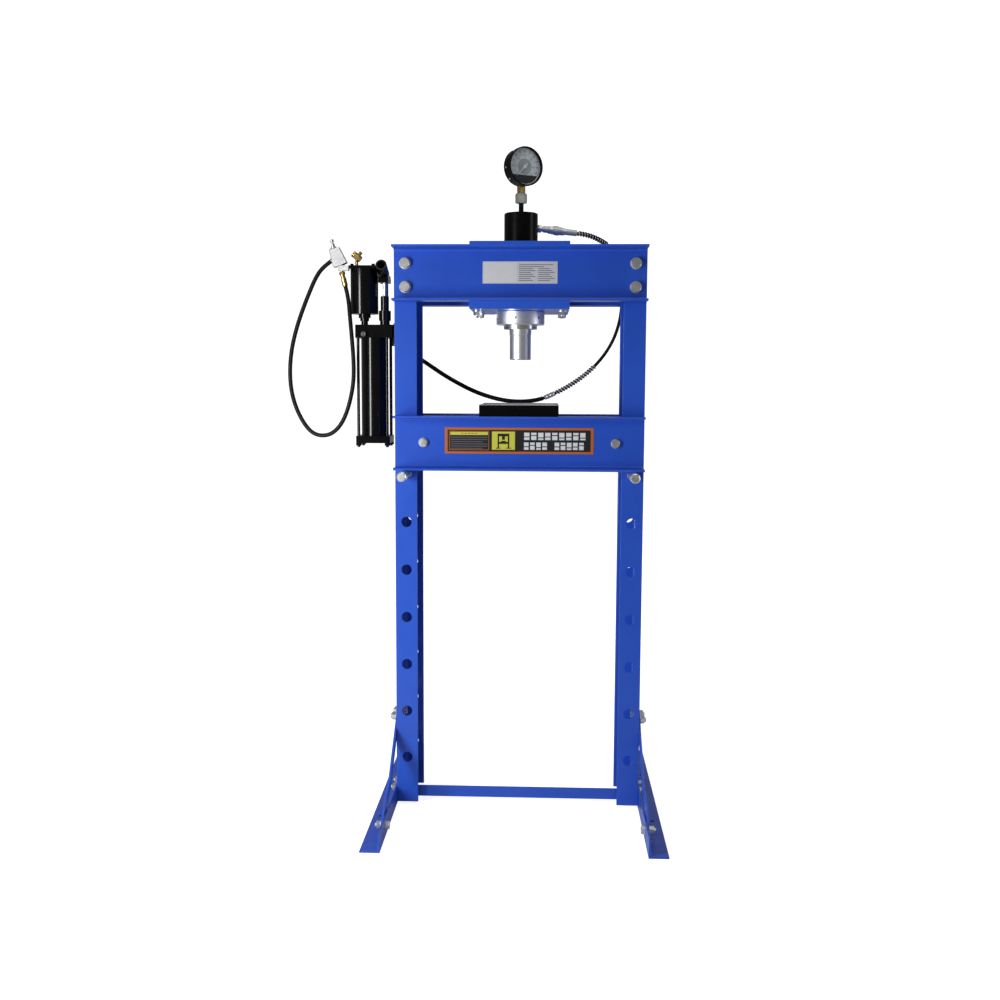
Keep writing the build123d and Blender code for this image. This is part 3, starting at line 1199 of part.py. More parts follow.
save("gauge_pipe", pipe(GAUGE_PIPE, PORT_BORE, (0, 0, CYLINDER_TOP), (0, 0, GAUGE_PIPE_TOP)))
save("gauge_union_nut", union_nut())
save("gauge_stem", gauge["stem"])
save("gauge_case", gauge["case"])
save("gauge_bezel", gauge["bezel"])
save("gauge_dial", gauge["dial"])
save("gauge_glass", gauge["glass"])
save("gauge_needle", gauge["needle"])

save("front_bed_channel", front_bed)
save("rear_bed_channel", mirror(front_bed, Plane.XZ))
save("bed_ties", *bed_ties())
save("left_bed_pin", bed_pin(-1))
save("right_bed_pin", bed_pin(1))
save("left_arbor_plate", arbor_plate(-1))
save("right_arbor_plate", arbor_plate(1))
save("instruction_panel", plate_on_web(PANEL, BED_BACK + BEAM_WALL, BED_MIDDLE + PANEL_RISE))

save("pump_mounting_plate", *pump_plate())
save("pump_block", pump_block(), suction_pipe())
save("reservoir_tube", reservoir_tube())
save("reservoir_end_plate", reservoir_end())
save("reservoir_tie_rods", *reservoir_rods())
save("outlet_elbow", outlet_elbow())
save("air_motor_head", motor_head())
save("air_motor_cylinder", motor_tube())
save("air_motor_base", motor_base())
save("air_motor_piston", motor_piston())
save("breather_fitting", *breather())
save("hand_pump_barrel", hand_barrel(), cross_pin(FULCRUM_Y, cheek_span()[1]))
save("hand_pump_plunger", *hand_plunger())
save("handle_socket", handle_socket())
save("release_valve_knob", release_valve())
save("air_valve_body", *air_valve())
save("air_valve_lever", valve_lever())
save("air_inlet_block", inlet_block())
save("air_hose_fittings", *air_fittings())
save("air_hose", air_tube)
save("pressure_hose", pressure_tube)
save("hose_sleeves", *hose_sleeves(pressure_line))

for label, line, tube, diameter, radii in (
    ("pressure_hose", pressure_line, pressure_tube, HOSE_DIAMETER, pressure_radii),
    ("air_hose", air_line, air_tube, AIR_HOSE_DIAMETER, air_radii),
):
    expected = math.pi * diameter**2 / 4 * line.length
    print(label, "radii", [round(radius) for radius in radii])
    print(label, "length", round(line.length), "volume over expected", round(tube.volume / expected, 4))
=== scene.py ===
# %% [markdown]
# # A hydraulic shop press
# The frame, beams, ram and pump come from the engineering model and stay as they are.
# This lesson sets up the studio, lays the two hoses, models the small pieces that a
# machined model leaves out, and gives every surface a finish.

# %% Load the machine
import json
import math
import bmesh
import bpy
from mathutils import Matrix, Vector

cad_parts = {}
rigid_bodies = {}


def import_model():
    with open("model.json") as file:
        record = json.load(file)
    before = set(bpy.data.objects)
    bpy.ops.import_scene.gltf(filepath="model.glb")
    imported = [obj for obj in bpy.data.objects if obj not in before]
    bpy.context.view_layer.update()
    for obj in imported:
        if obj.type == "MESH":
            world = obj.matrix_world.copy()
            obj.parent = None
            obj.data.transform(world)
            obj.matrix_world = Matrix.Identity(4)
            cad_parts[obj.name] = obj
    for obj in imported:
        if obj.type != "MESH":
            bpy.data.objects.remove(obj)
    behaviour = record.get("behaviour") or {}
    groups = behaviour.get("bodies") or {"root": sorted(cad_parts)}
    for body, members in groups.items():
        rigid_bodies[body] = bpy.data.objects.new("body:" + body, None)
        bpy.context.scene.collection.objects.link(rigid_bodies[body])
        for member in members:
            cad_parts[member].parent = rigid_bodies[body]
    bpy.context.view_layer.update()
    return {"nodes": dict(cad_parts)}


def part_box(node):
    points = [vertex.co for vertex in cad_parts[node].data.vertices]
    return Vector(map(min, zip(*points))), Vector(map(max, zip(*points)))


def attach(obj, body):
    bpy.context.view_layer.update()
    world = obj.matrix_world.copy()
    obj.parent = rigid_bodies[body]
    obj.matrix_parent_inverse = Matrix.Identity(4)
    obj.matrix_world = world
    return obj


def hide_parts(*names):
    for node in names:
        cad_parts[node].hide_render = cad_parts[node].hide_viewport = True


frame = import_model()

# %% [markdown]
# ## The studio
# A product like this is shown on a pale floor that runs up into a pale wall. A single
# curved sweep does both, so no line shows behind the machine. Large soft lights give the
# paint its long gentle highlights. A small hard lamp would draw every dent instead.

# %% Camera
FOCAL_LENGTH = 41.28
CAMERA_PLACE = Vector((0.071785, -3.06308, 1.14378))
CAMERA_YAW = 0.04044
CAMERA_PITCH = -0.10456
CAMERA_ROLL = 0.00421


def aim_camera(camera):
    """Points the camera by yaw, pitch and roll, with the world's Z up."""
    level = math.cos(CAMERA_PITCH)
    ahead, aside = math.cos(CAMERA_YAW), -math.sin(CAMERA_YAW)
    forward = Vector((aside * level, ahead * level, math.sin(CAMERA_PITCH)))
    right = Vector((math.cos(CAMERA_YAW), math.sin(CAMERA_YAW), 0))
    up = right.cross(forward)
    roll_right = right * math.cos(CAMERA_ROLL) + up * math.sin(CAMERA_ROLL)
    roll_up = up * math.cos(CAMERA_ROLL) - right * math.sin(CAMERA_ROLL)
    turn = Matrix((roll_right, roll_up, -forward)).transposed()
    camera.matrix_world = Matrix.Translation(CAMERA_PLACE) @ turn.to_4x4()


bpy.ops.object.camera_add()
camera = bpy.context.object
camera.name = "studio_camera"
camera.data.lens = FOCAL_LENGTH
camera.data.sensor_width = 36.0
camera.data.clip_end = 60.0
aim_camera(camera)
bpy.context.scene.camera = camera
print("camera at", [round(x, 3) for x in camera.location])

# %% Selection helpers
def deselect():
    bpy.ops.object.select_all(action="DESELECT")


def select_only(piece):
    """Makes one piece the only selected and the active one."""
    deselect()
    piece.select_set(True)
    bpy.context.view_layer.objects.active = piece


# %% Node helpers
def new_material(name):
    """An empty material with a Principled shader, and what its nodes need."""
    material = bpy.data.materials.new(name)
    material.use_nodes = True
    tree = material.node_tree
    return material, tree, tree.nodes["Principled BSDF"]


def node(tree, kind, **values):
    """Adds a node and sets its properties and unlinked inputs by name."""
    made = tree.nodes.new(kind)
    for name, value in values.items():
        if hasattr(made, name):
            setattr(made, name, value)
        else:
            made.inputs[name.replace("_", " ")].default_value = value
    return made


def object_point(tree, scale=(1.0, 1.0, 1.0)):
    """Object coordinates through a mapping, so that a pattern sits on the piece."""
    source = node(tree, "ShaderNodeTexCoord")
    mapping = node(tree, "ShaderNodeMapping", Scale=scale)
    tree.links.new(source.outputs["Object"], mapping.inputs["Vector"])
    return mapping.outputs["Vector"]


def noise(tree, point, scale, detail=3.0, roughness=0.5):
    made = node(tree, "ShaderNodeTexNoise", Scale=scale, Detail=detail, Roughness=roughness)
    tree.links.new(point, made.inputs["Vector"])
    return made.outputs["Fac"]


def spread(tree, value, low, high):
    """Maps 0 to 1 noise, which mostly lies near the middle, to a range."""
    made = node(tree, "ShaderNodeMapRange", From_Min=0.3, From_Max=0.7, To_Min=low, To_Max=high)
    tree.links.new(value, made.inputs["Value"])
    return made.outputs["Result"]


def two_colours(tree, factor, first, second):
    made = node(tree, "ShaderNodeMix", data_type="RGBA")
    made.inputs["A"].default_value = (*first, 1.0)
    made.inputs["B"].default_value = (*second, 1.0)
    tree.links.new(factor, made.inputs["Factor"])
    return made.outputs["Result"]


def bump(tree, shader, height, distance):
    """Relief from a pattern, whose depth in metres is distance."""
    made = node(tree, "ShaderNodeBump", Strength=1.0, Distance=distance)
    tree.links.new(height, made.inputs["Height"])
    tree.links.new(made.outputs["Normal"], shader.inputs["Normal"])


# %% Floor and wall in one sweep
def seen_straight(tree, others, seen):
    """One brightness for what the lens sees directly, and another for all other rays."""
    path = node(tree, "ShaderNodeLightPath")
    value = node(tree, "ShaderNodeMath", operation="MULTIPLY_ADD")
    tree.links.new(path.outputs["Is Camera Ray"], value.inputs[0])
    value.inputs[1].default_value = seen - others
    value.inputs[2].default_value = others
    return value.outputs[0]


def studio_sweep():
    """A floor that curves up into a wall: one edge, extruded and bevelled."""
    bpy.ops.mesh.primitive_plane_add(size=14.0, location=(0.0, 1.0, -0.0006))
    sweep = bpy.context.object
    sweep.name = "studio_sweep"
    bpy.ops.object.transform_apply(location=True)
    bpy.ops.object.mode_set(mode="EDIT")
    mesh = bmesh.from_edit_mesh(sweep.data)
    for edge in mesh.edges:
        edge.select_set(all(vertex.co.y > 7.9 for vertex in edge.verts))
    bmesh.update_edit_mesh(sweep.data)
    bpy.ops.mesh.extrude_edges_move(TRANSFORM_OT_translate={"value": (0.0, 0.0, 7.0)})
    mesh = bmesh.from_edit_mesh(sweep.data)
    for edge in mesh.edges:
        low = all(abs(vertex.co.z) < 0.1 and vertex.co.y > 7.9 for vertex in edge.verts)
        edge.select_set(low)
    bmesh.update_edit_mesh(sweep.data)
    bpy.ops.mesh.bevel(offset=3.0, segments=24)
    bpy.ops.object.mode_set(mode="OBJECT")
    bpy.ops.object.shade_smooth()
    material, tree, shader = new_material("studio_white")
    tone = spread(tree, noise(tree, object_point(tree), 1.5), 0.0, 1.0)
    colour = two_colours(tree, tone, (0.80, 0.80, 0.80), (0.82, 0.82, 0.82))
    tree.links.new(colour, shader.inputs["Base Color"])
    shader.inputs["Roughness"].default_value = 0.9
    shader.inputs["Specular IOR Level"].default_value = 0.1
    shader.inputs["Emission Color"].default_value = (1.0, 1.0, 1.0, 1.0)
    glow = seen_straight(tree, 0.0, 0.86)
    tree.links.new(glow, shader.inputs["Emission Strength"])
    sweep.data.materials.append(material)
    return sweep


deselect()
studio_sweep()

# %% Lights
def soft_light(name, place, target, size, power):
    """A rectangular area light that faces its target."""
    data = bpy.data.lights.new(name, "AREA")
    data.shape = "RECTANGLE"
    data.size, data.size_y = size
    data.energy = power
    light = bpy.data.objects.new(name, data)
    bpy.context.scene.collection.objects.link(light)
    light.location = place
    direction = Vector(target) - Vector(place)
    light.rotation_euler = direction.to_track_quat("-Z", "Y").to_euler()
    return light


world = bpy.data.worlds.new("studio_air")
bpy.context.scene.world = world
world.use_nodes = True
air = world.node_tree.nodes["Background"]
air.inputs["Color"].default_value = (1.0, 1.0, 1.0, 1.0)
world.node_tree.links.new(seen_straight(world.node_tree, 0.15, 1.05), air.inputs["Strength"])
soft_light("left_strip", (-1.25, -1.35, 0.95), (-0.15, 0.0, 0.85), (0.30, 1.2), 27)
soft_light("right_strip", (2.6, -0.5, 1.2), (0.0, 0.0, 1.0), (0.25, 1.9), 12)
soft_light("top_softbox", (0.2, -0.9, 3.3), (0.0, 0.1, 0.9), (2.2, 1.4), 12)
soft_light("wall_wash", (0.0, 1.6, 3.6), (0.0, 6.0, 1.4), (4.0, 1.0), 90)
bpy.context.scene.view_settings.view_transform = "Standard"

# %% [markdown]
# ## The hoses
# The press has two hoses: a black rubber air hose that loops down from the trigger valve,
# and a thinner oil hose that swings behind the bed to the cylinder. A hose is springy, so
# its line is one smooth curve. A NURBS curve passes near its control points without
# corners, which is just how rubber hose bends. Points joined by straight runs would look
# like bent wire. The same control points carry the engineering model's tubes.

# %% Hose routes
PRESSURE_ROUTE = (
    (-0.338, 0.062, 1.238), (-0.338, 0.092, 1.238), (-0.330, 0.125, 1.232),
    (-0.306, 0.150, 1.215), (-0.266, 0.158, 1.189), (-0.205, 0.155, 1.148),
    (-0.122, 0.151, 1.105), (-0.036, 0.150, 1.082), (0.043, 0.150, 1.085),
    (0.101, 0.150, 1.109), (0.160, 0.150, 1.144), (0.210, 0.151, 1.187),
    (0.249, 0.152, 1.241), (0.271, 0.154, 1.301), (0.278, 0.158, 1.366),
    (0.279, 0.164, 1.425), (0.271, 0.161, 1.468), (0.257, 0.139, 1.497),
    (0.233, 0.107, 1.507), (0.206, 0.081, 1.520), (0.1744, 0.0635, 1.530),
    (0.1462, 0.0532, 1.5321),
)
AIR_ROUTE = (
    (-0.4973, -0.026, 1.4509), (-0.519, -0.026, 1.4358), (-0.538, -0.0265, 1.4095),
    (-0.556, -0.0275, 1.369), (-0.574, -0.029, 1.324), (-0.591, -0.0305, 1.275),
    (-0.6045, -0.032, 1.219), (-0.609, -0.035, 1.163), (-0.605, -0.038, 1.110),
    (-0.590, -0.041, 1.060), (-0.564, -0.044, 1.015), (-0.538, -0.046, 0.995),
    (-0.504, -0.0485, 0.995), (-0.478, -0.0495, 1.014), (-0.459, -0.0505, 1.046),
    (-0.445, -0.051, 1.090), (-0.436, -0.051, 1.140), (-0.436, -0.051, 1.195),
    (-0.441, -0.048, 1.256), (-0.447, -0.039, 1.310), (-0.4526, -0.026, 1.3562),
    (-0.4603, -0.026, 1.3872),
)
PRESSURE_DIAMETER = 0.009
AIR_DIAMETER = 0.011


def centre_line(route):
    """The points that Blender works out along a route's smooth NURBS spline."""
    curve = bpy.data.curves.new("route", "CURVE")
    curve.dimensions = "3D"
    spline = curve.splines.new("NURBS")
    spline.points.add(len(route) - 1)
    for point, place in zip(spline.points, route):
        point.co = (*place, 1.0)
    spline.order_u = 3
    spline.use_endpoint_u = True
    spline.resolution_u = 12
    bare = bpy.data.objects.new("route", curve)
    bpy.context.scene.collection.objects.link(bare)
    bpy.context.view_layer.update()
    depsgraph = bpy.context.evaluated_depsgraph_get()
    mesh = bpy.data.meshes.new_from_object(bare.evaluated_get(depsgraph))
    points = [vertex.co.copy() for vertex in mesh.vertices]
    bpy.data.objects.remove(bare)
    bpy.data.meshes.remove(mesh)
    return points


pressure_line = centre_line(PRESSURE_ROUTE)
air_line = centre_line(AIR_ROUTE)
print("oil hose line has", len(pressure_line), "points, air hose line", len(air_line))


# %% [markdown]
# ## What the oil hose wears
# Near the bed the oil hose slides into a thicker rubber sleeve with a crimped steel joint.
# Beyond the joint, and again at the cylinder, an open coil of black spring wire over a
# bright steel braid keeps it from kinking. Each follows the hose exactly, so each takes its
# points from the hose's own line: a sleeve or a braid is a fatter tube, and a spring is a
# wire wound round that line. Array and curve modifiers could bend a straight spring, but
# they stretch its turns.

# %% Tubes and coils along a line
SLEEVE_START_DEPTH = 0.063
SLEEVE_END = 0.064
SLEEVE_RADIUS = 0.006
JOINT_END = 0.094
GUARD_END = 0.205
TOP_GUARD_START = 0.150
TOP_GUARD_END = 0.228
BEAM_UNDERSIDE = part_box("front_top_beam")[0][2]
BEAM_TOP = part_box("front_top_beam")[1][2]


def cut_line(points, keep):
    """The part of a line for which keep(point) is true."""
    return [point for point in points if keep(point)]


def resample(points, step):
    """Evenly spaced points along a line, and its length."""
    lengths = [0.0]
    for before, after in zip(points, points[1:]):
        lengths.append(lengths[-1] + (after - before).length)
    count = max(2, round(lengths[-1] / step))
    result, index = [], 0
    for number in range(count + 1):
        wanted = lengths[-1] * number / count
        while index < len(points) - 2 and lengths[index + 1] < wanted:
            index += 1
        share = (wanted - lengths[index]) / max(lengths[index + 1] - lengths[index], 1e-9)
        result.append(points[index].lerp(points[index + 1], min(share, 1.0)))
    return result, lengths[-1]


def tube_mesh(name, points, radii, sides):
    """A closed tube through points, each with its own radius, made a mesh."""
    curve = bpy.data.curves.new(name, "CURVE")
    curve.dimensions = "3D"
    curve.bevel_depth = 1.0
    curve.bevel_resolution = sides // 4 - 1
    curve.use_fill_caps = True
    spline = curve.splines.new("POLY")
    spline.points.add(len(points) - 1)
    for point, place, radius in zip(spline.points, points, radii):
        point.co = (*place, 1.0)
        point.radius = radius
    tube = bpy.data.objects.new(name, curve)
    bpy.context.scene.collection.objects.link(tube)
    select_only(tube)
    bpy.ops.object.convert(target="MESH")
    tube = bpy.context.object
    bpy.ops.object.shade_smooth_by_angle(angle=math.radians(40))
    return tube


def even_tube(name, points, radius, sides):
    """A tube of one thickness."""
    return tube_mesh(name, points, [radius] * len(points), sides)


pressure_hose = even_tube("oil_hose", pressure_line, PRESSURE_DIAMETER / 2, 20)
air_hose = even_tube("rubber_air_hose", air_line, AIR_DIAMETER / 2, 24)


def coil_points(points, radius, pitch, steps=14):
    """A helix of wire wound round a line."""
    line, length = resample(points, pitch / steps)
    across = Vector((0, 0, 1)).cross(line[1] - line[0]).normalized()
    result = []
    for index, place in enumerate(line):
        ahead = line[min(index + 1, len(line) - 1)] - line[max(index - 1, 0)]
        ahead.normalize()
        across = (across - ahead * across.dot(ahead)).normalized()
        turn = math.tau * index / steps
        outward = across * math.cos(turn) + ahead.cross(across) * math.sin(turn)
        result.append(place + radius * outward)
    return result


WIRE = 0.0038
COIL_RADIUS = 0.0056
COIL_PITCH = 0.0080
BRAID_RADIUS = 0.0047


def spring_guard(name, points):
    """A wound wire guard along a line."""
    turns = coil_points(points, COIL_RADIUS, COIL_PITCH)
    guard = even_tube(name, turns, WIRE / 2, 8)
    print(name, "has", len(guard.data.polygons), "faces")
    return guard


lower_run = cut_line(pressure_line, lambda p: p.z < BEAM_UNDERSIDE)
sleeve_line = cut_line(lower_run, lambda p: p.x < SLEEVE_END and p.y > SLEEVE_START_DEPTH)
joint_line = cut_line(lower_run, lambda p: SLEEVE_END - 0.002 < p.x < JOINT_END)
guard_line = cut_line(lower_run, lambda p: JOINT_END < p.x < GUARD_END)
top_guard_line = cut_line(pressure_line, lambda p: p.z > BEAM_TOP and TOP_GUARD_START < p.x < TOP_GUARD_END)
sleeve_points, sleeve_length = resample(sleeve_line, 0.008)
rubber_sleeve = even_tube("rubber_sleeve", sleeve_points, SLEEVE_RADIUS, 24)


JOINT_RADIUS = 0.0064
CRIMP_RISE = 0.0009
CRIMP_BANDS = 3.0


def crimp_radius(share):
    """The steel joint's radius along its length: crimped bands with low ends."""
    band = 0.5 + 0.5 * math.cos(share * math.tau * CRIMP_BANDS)
    return JOINT_RADIUS + CRIMP_RISE * min(1.0, 2.2 * band) * (1.0 if 0.04 < share < 0.96 else 0.4)


joint_points, joint_length = resample(joint_line, 0.0006)
joint_shares = [index / (len(joint_points) - 1) for index in range(len(joint_points))]
steel_joint = tube_mesh("steel_joint", joint_points, [crimp_radius(share) for share in joint_shares], 28)
lower_guard = spring_guard("lower_spring_guard", guard_line)
upper_guard = spring_guard("upper_spring_guard", top_guard_line)
lower_braid = even_tube("lower_steel_braid", guard_line, BRAID_RADIUS, 24)
upper_braid = even_tube("upper_steel_braid", top_guard_line, BRAID_RADIUS, 24)
print("sleeve", round(sleeve_length, 3), "m, joint", round(joint_length, 3), "m")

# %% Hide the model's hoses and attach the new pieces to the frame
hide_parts("pressure_hose")
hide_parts("hose_sleeves")
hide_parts("air_hose")
on_oil_hose = [rubber_sleeve, steel_joint, lower_guard, upper_guard, lower_braid, upper_braid]
for piece in (pressure_hose, air_hose, *on_oil_hose):
    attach(piece, "frame")

# %% [markdown]
# ## Paint
# The frame is sprayed with a glossy royal blue enamel. Sprayed enamel is never quite flat:
# it has a fine orange peel, and it lies a little thinner and paler in places. A coat layer
# over the colour gives the sharp reflection, and two sizes of noise move the colour and the
# surface. Rolled steel shows through as long shallow waves.

# %% Height masks
EDGE_BLEND = 0.0004


def above(tree, height):
    """0 below a height and 1 above it, in the piece's own coordinates."""
    split = node(tree, "ShaderNodeSeparateXYZ")
    tree.links.new(object_point(tree), split.inputs[0])
    made = node(tree, "ShaderNodeMapRange", From_Min=height - EDGE_BLEND, From_Max=height + EDGE_BLEND)
    tree.links.new(split.outputs["Z"], made.inputs["Value"])
    return made.outputs["Result"]


# %% Blue enamel
def blue_enamel():
    material, tree, shader = new_material("royal_blue_enamel")
    point = object_point(tree)
    drift = spread(tree, noise(tree, point, 6.0), 0.0, 1.0)
    colour = two_colours(tree, drift, (0.018, 0.083, 0.53), (0.022, 0.096, 0.59))
    tree.links.new(colour, shader.inputs["Base Color"])
    rough = spread(tree, noise(tree, point, 40.0), 0.32, 0.40)
    tree.links.new(rough, shader.inputs["Roughness"])
    shader.inputs["Specular IOR Level"].default_value = 0.30
    shader.inputs["Coat Weight"].default_value = 0.25
    shader.inputs["Coat Roughness"].default_value = 0.14
    peel = noise(tree, point, 420.0, 2.0)
    waves = noise(tree, point, 14.0, 2.0)
    both = node(tree, "ShaderNodeMath", operation="MULTIPLY_ADD")
    tree.links.new(waves, both.inputs[0])
    both.inputs[1].default_value = 3.0
    tree.links.new(peel, both.inputs[2])
    bump(tree, shader, both.outputs[0], 0.00002)
    return material


BLACK_THIN = (0.0016, 0.0015, 0.0019)
BLACK_THICK = (0.0028, 0.0027, 0.0032)
BLACK_SPECULAR = 0.12


def black_enamel(name, low, high, coat):
    """Black paint on castings and tubes, with a fine peel."""
    material, tree, shader = new_material(name)
    point = object_point(tree)
    tone = spread(tree, noise(tree, point, 18.0), 0.0, 1.0)
    tree.links.new(two_colours(tree, tone, BLACK_THIN, BLACK_THICK), shader.inputs["Base Color"])
    tree.links.new(spread(tree, noise(tree, point, 60.0), low, high), shader.inputs["Roughness"])
    shader.inputs["Specular IOR Level"].default_value = BLACK_SPECULAR
    shader.inputs["Coat Weight"].default_value = coat
    shader.inputs["Coat Roughness"].default_value = 0.08
    bump(tree, shader, noise(tree, point, 380.0, 2.0), 0.00005)
    return material


# %% [markdown]
# ## Bare and plated metal
# Turned steel carries fine rings round its axis, zinc-plated bolts are slightly cloudy and
# yellowish, and cast aluminium is grainy. All are metals: the shader's metallic value is
# one, and what tells them apart is colour, roughness and the pattern of the bump.

# %% Metals
def plated_steel(name, first, second, low, high, grain=90.0, depth=0.000006):
    material, tree, shader = new_material(name)
    point = object_point(tree)
    cloud = spread(tree, noise(tree, point, 70.0, 4.0), 0.0, 1.0)
    tree.links.new(two_colours(tree, cloud, first, second), shader.inputs["Base Color"])
    tree.links.new(spread(tree, noise(tree, point, grain), low, high), shader.inputs["Roughness"])
    shader.inputs["Metallic"].default_value = 1.0
    bump(tree, shader, noise(tree, point, grain * 2, 3.0), depth)
    return material


LATHE_LINES = 900.0
STEEL_DARK = (0.80, 0.82, 0.83)
STEEL_PALE = (0.92, 0.94, 0.95)


def turned_steel(name, rough_low, rough_high, depth=0.000006):
    """Steel from a lathe that turns about the vertical: rings that vary with height."""
    material, tree, shader = new_material(name)
    point = object_point(tree, scale=(3.0, 3.0, LATHE_LINES))
    rings = noise(tree, point, 1.0, 4.0, 0.6)
    tint = spread(tree, rings, 0.0, 1.0)
    tree.links.new(two_colours(tree, tint, STEEL_DARK, STEEL_PALE), shader.inputs["Base Color"])
    tree.links.new(spread(tree, rings, rough_low, rough_high), shader.inputs["Roughness"])
    shader.inputs["Metallic"].default_value = 1.0
    bump(tree, shader, rings, depth)
    return material


def matt_rubber(name):
    """Smooth extruded rubber with a fine cloth mark and a dry bloom."""
    material, tree, shader = new_material(name)
    point = object_point(tree)
    bloom = spread(tree, noise(tree, point, 25.0, 4.0), 0.0, 1.0)
    colour = two_colours(tree, bloom, (0.0025, 0.0025, 0.0028), (0.0050, 0.0050, 0.0054))
    tree.links.new(colour, shader.inputs["Base Color"])
    tree.links.new(spread(tree, noise(tree, point, 120.0), 0.42, 0.58), shader.inputs["Roughness"])
    shader.inputs["Specular IOR Level"].default_value = 0.22
    bump(tree, shader, noise(tree, point, 900.0, 2.0), 0.00008)
    return material


MOTTLE = 0.04


def plain_plastic(name, colour, roughness, coat=0.0):
    """A printed or moulded colour with a faint mottle."""
    material, tree, shader = new_material(name)
    point = object_point(tree)
    other = tuple(min(1.0, part * (1.0 + MOTTLE) + 0.002) for part in colour)
    tree.links.new(two_colours(tree, spread(tree, noise(tree, point, 90.0), 0, 1), colour, other),
                   shader.inputs["Base Color"])
    tree.links.new(spread(tree, noise(tree, point, 300.0), roughness * 0.9, roughness * 1.1),
                   shader.inputs["Roughness"])
    shader.inputs["Coat Weight"].default_value = coat
    return material


def window_glass():
    """A clear pane. Alpha keeps the dial lit and readable, which refraction would not."""
    material, tree, shader = new_material("gauge_window")
    smear = spread(tree, noise(tree, object_point(tree), 30.0), 0.02, 0.06)
    tree.links.new(smear, shader.inputs["Roughness"])
    shader.inputs["Base Color"].default_value = (0.03, 0.035, 0.04, 1.0)
    shader.inputs["Alpha"].default_value = 0.06
    return material


def part_painted(name, height, metal_above):
    """A piece that is black on one side of a height and bare steel on the other."""
    material, tree, shader = new_material(name)
    mask = above(tree, height)
    if not metal_above:
        flip = node(tree, "ShaderNodeMath", operation="SUBTRACT")
        flip.inputs[0].default_value = 1.0
        tree.links.new(mask, flip.inputs[1])
        mask = flip.outputs[0]
    point = object_point(tree, scale=(6.0, 6.0, 900.0) if not metal_above else (6.0, 700.0, 700.0))
    lines = noise(tree, point, 1.0, 3.0, 0.6)
    steel = two_colours(tree, spread(tree, lines, 0, 1), (0.60, 0.61, 0.62), (0.78, 0.79, 0.80))
    paint = two_colours(tree, spread(tree, noise(tree, object_point(tree), 30.0), 0, 1),
                        BLACK_THIN, BLACK_THICK)
    mixed = node(tree, "ShaderNodeMix", data_type="RGBA")
    tree.links.new(mask, mixed.inputs["Factor"])
    tree.links.new(paint, mixed.inputs["A"])
    tree.links.new(steel, mixed.inputs["B"])
    tree.links.new(mixed.outputs["Result"], shader.inputs["Base Color"])
    tree.links.new(mask, shader.inputs["Metallic"])
    tree.links.new(spread(tree, lines, 0.20, 0.36), shader.inputs["Roughness"])
    shader.inputs["Specular IOR Level"].default_value = BLACK_SPECULAR
    bump(tree, shader, lines, 0.000008)
    return material


BLUE = blue_enamel()
BLACK_GLOSS = black_enamel("black_gloss_enamel", 0.16, 0.24, 0.35)
BLACK_SATIN = black_enamel("black_satin_enamel", 0.34, 0.46, 0.0)
ZINC = plated_steel("zinc_plate", (0.78, 0.78, 0.74), (0.94, 0.94, 0.91), 0.30, 0.42)
DARK_STEEL = plated_steel("oiled_steel", (0.10, 0.10, 0.11), (0.18, 0.18, 0.19), 0.30, 0.42)
BRIGHT = turned_steel("turned_bright_steel", 0.36, 0.48)
CAST = plated_steel("cast_aluminium", (0.55, 0.56, 0.57), (0.70, 0.71, 0.72), 0.34, 0.50, 500.0, 0.00012)
BRASS = plated_steel("yellow_brass", (0.58, 0.40, 0.12), (0.72, 0.52, 0.20), 0.20, 0.34)
RUBBER = matt_rubber("black_rubber")
BRAID = plated_steel("steel_braid", (0.80, 0.81, 0.82), (0.92, 0.93, 0.94), 0.42, 0.55, 700.0, 0.00006)
DIAL = plain_plastic("dial_enamel", (0.68, 0.75, 0.79), 0.5)
DIAL_GREY = plain_plastic("dial_grey_zone", (0.36, 0.41, 0.43), 0.5)
GLASS = window_glass()
HEAD_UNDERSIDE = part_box("head_bottom_plate")[0][2]
CYLINDER_FINISH = part_painted("painted_cylinder", HEAD_UNDERSIDE, metal_above=False)
PLATE_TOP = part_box("left_arbor_plate")[1][2]
ARBOR_FINISH = part_painted("black_plate_with_ground_top", PLATE_TOP - 0.0011, metal_above=True)
PLATE = plain_plastic("silvered_label", (0.58, 0.59, 0.61), 0.36, 0.2)
PLATE_PALE = plain_plastic("pale_label", (0.68, 0.68, 0.68), 0.36, 0.2)
INK_BLACK = plain_plastic("black_ink", (0.010, 0.010, 0.011), 0.35, 0.4)
INK_ORANGE = plain_plastic("orange_ink", (0.50, 0.14, 0.025), 0.35, 0.4)
INK_YELLOW = plain_plastic("yellow_ink", (0.62, 0.62, 0.06), 0.35, 0.4)
INK_WHITE = plain_plastic("white_ink", (0.75, 0.77, 0.78), 0.35, 0.4)
INK_GREY = plain_plastic("grey_ink", (0.10, 0.10, 0.11), 0.4)
print("finishes:", len(bpy.data.materials))

# %% [markdown]
# ## A finish for every machined piece
# Each node of the engineering model is one object. Its mesh stays untouched and only its
# material slots are filled. A table of finish and piece names is easier to read and to
# change than sixty separate lines.

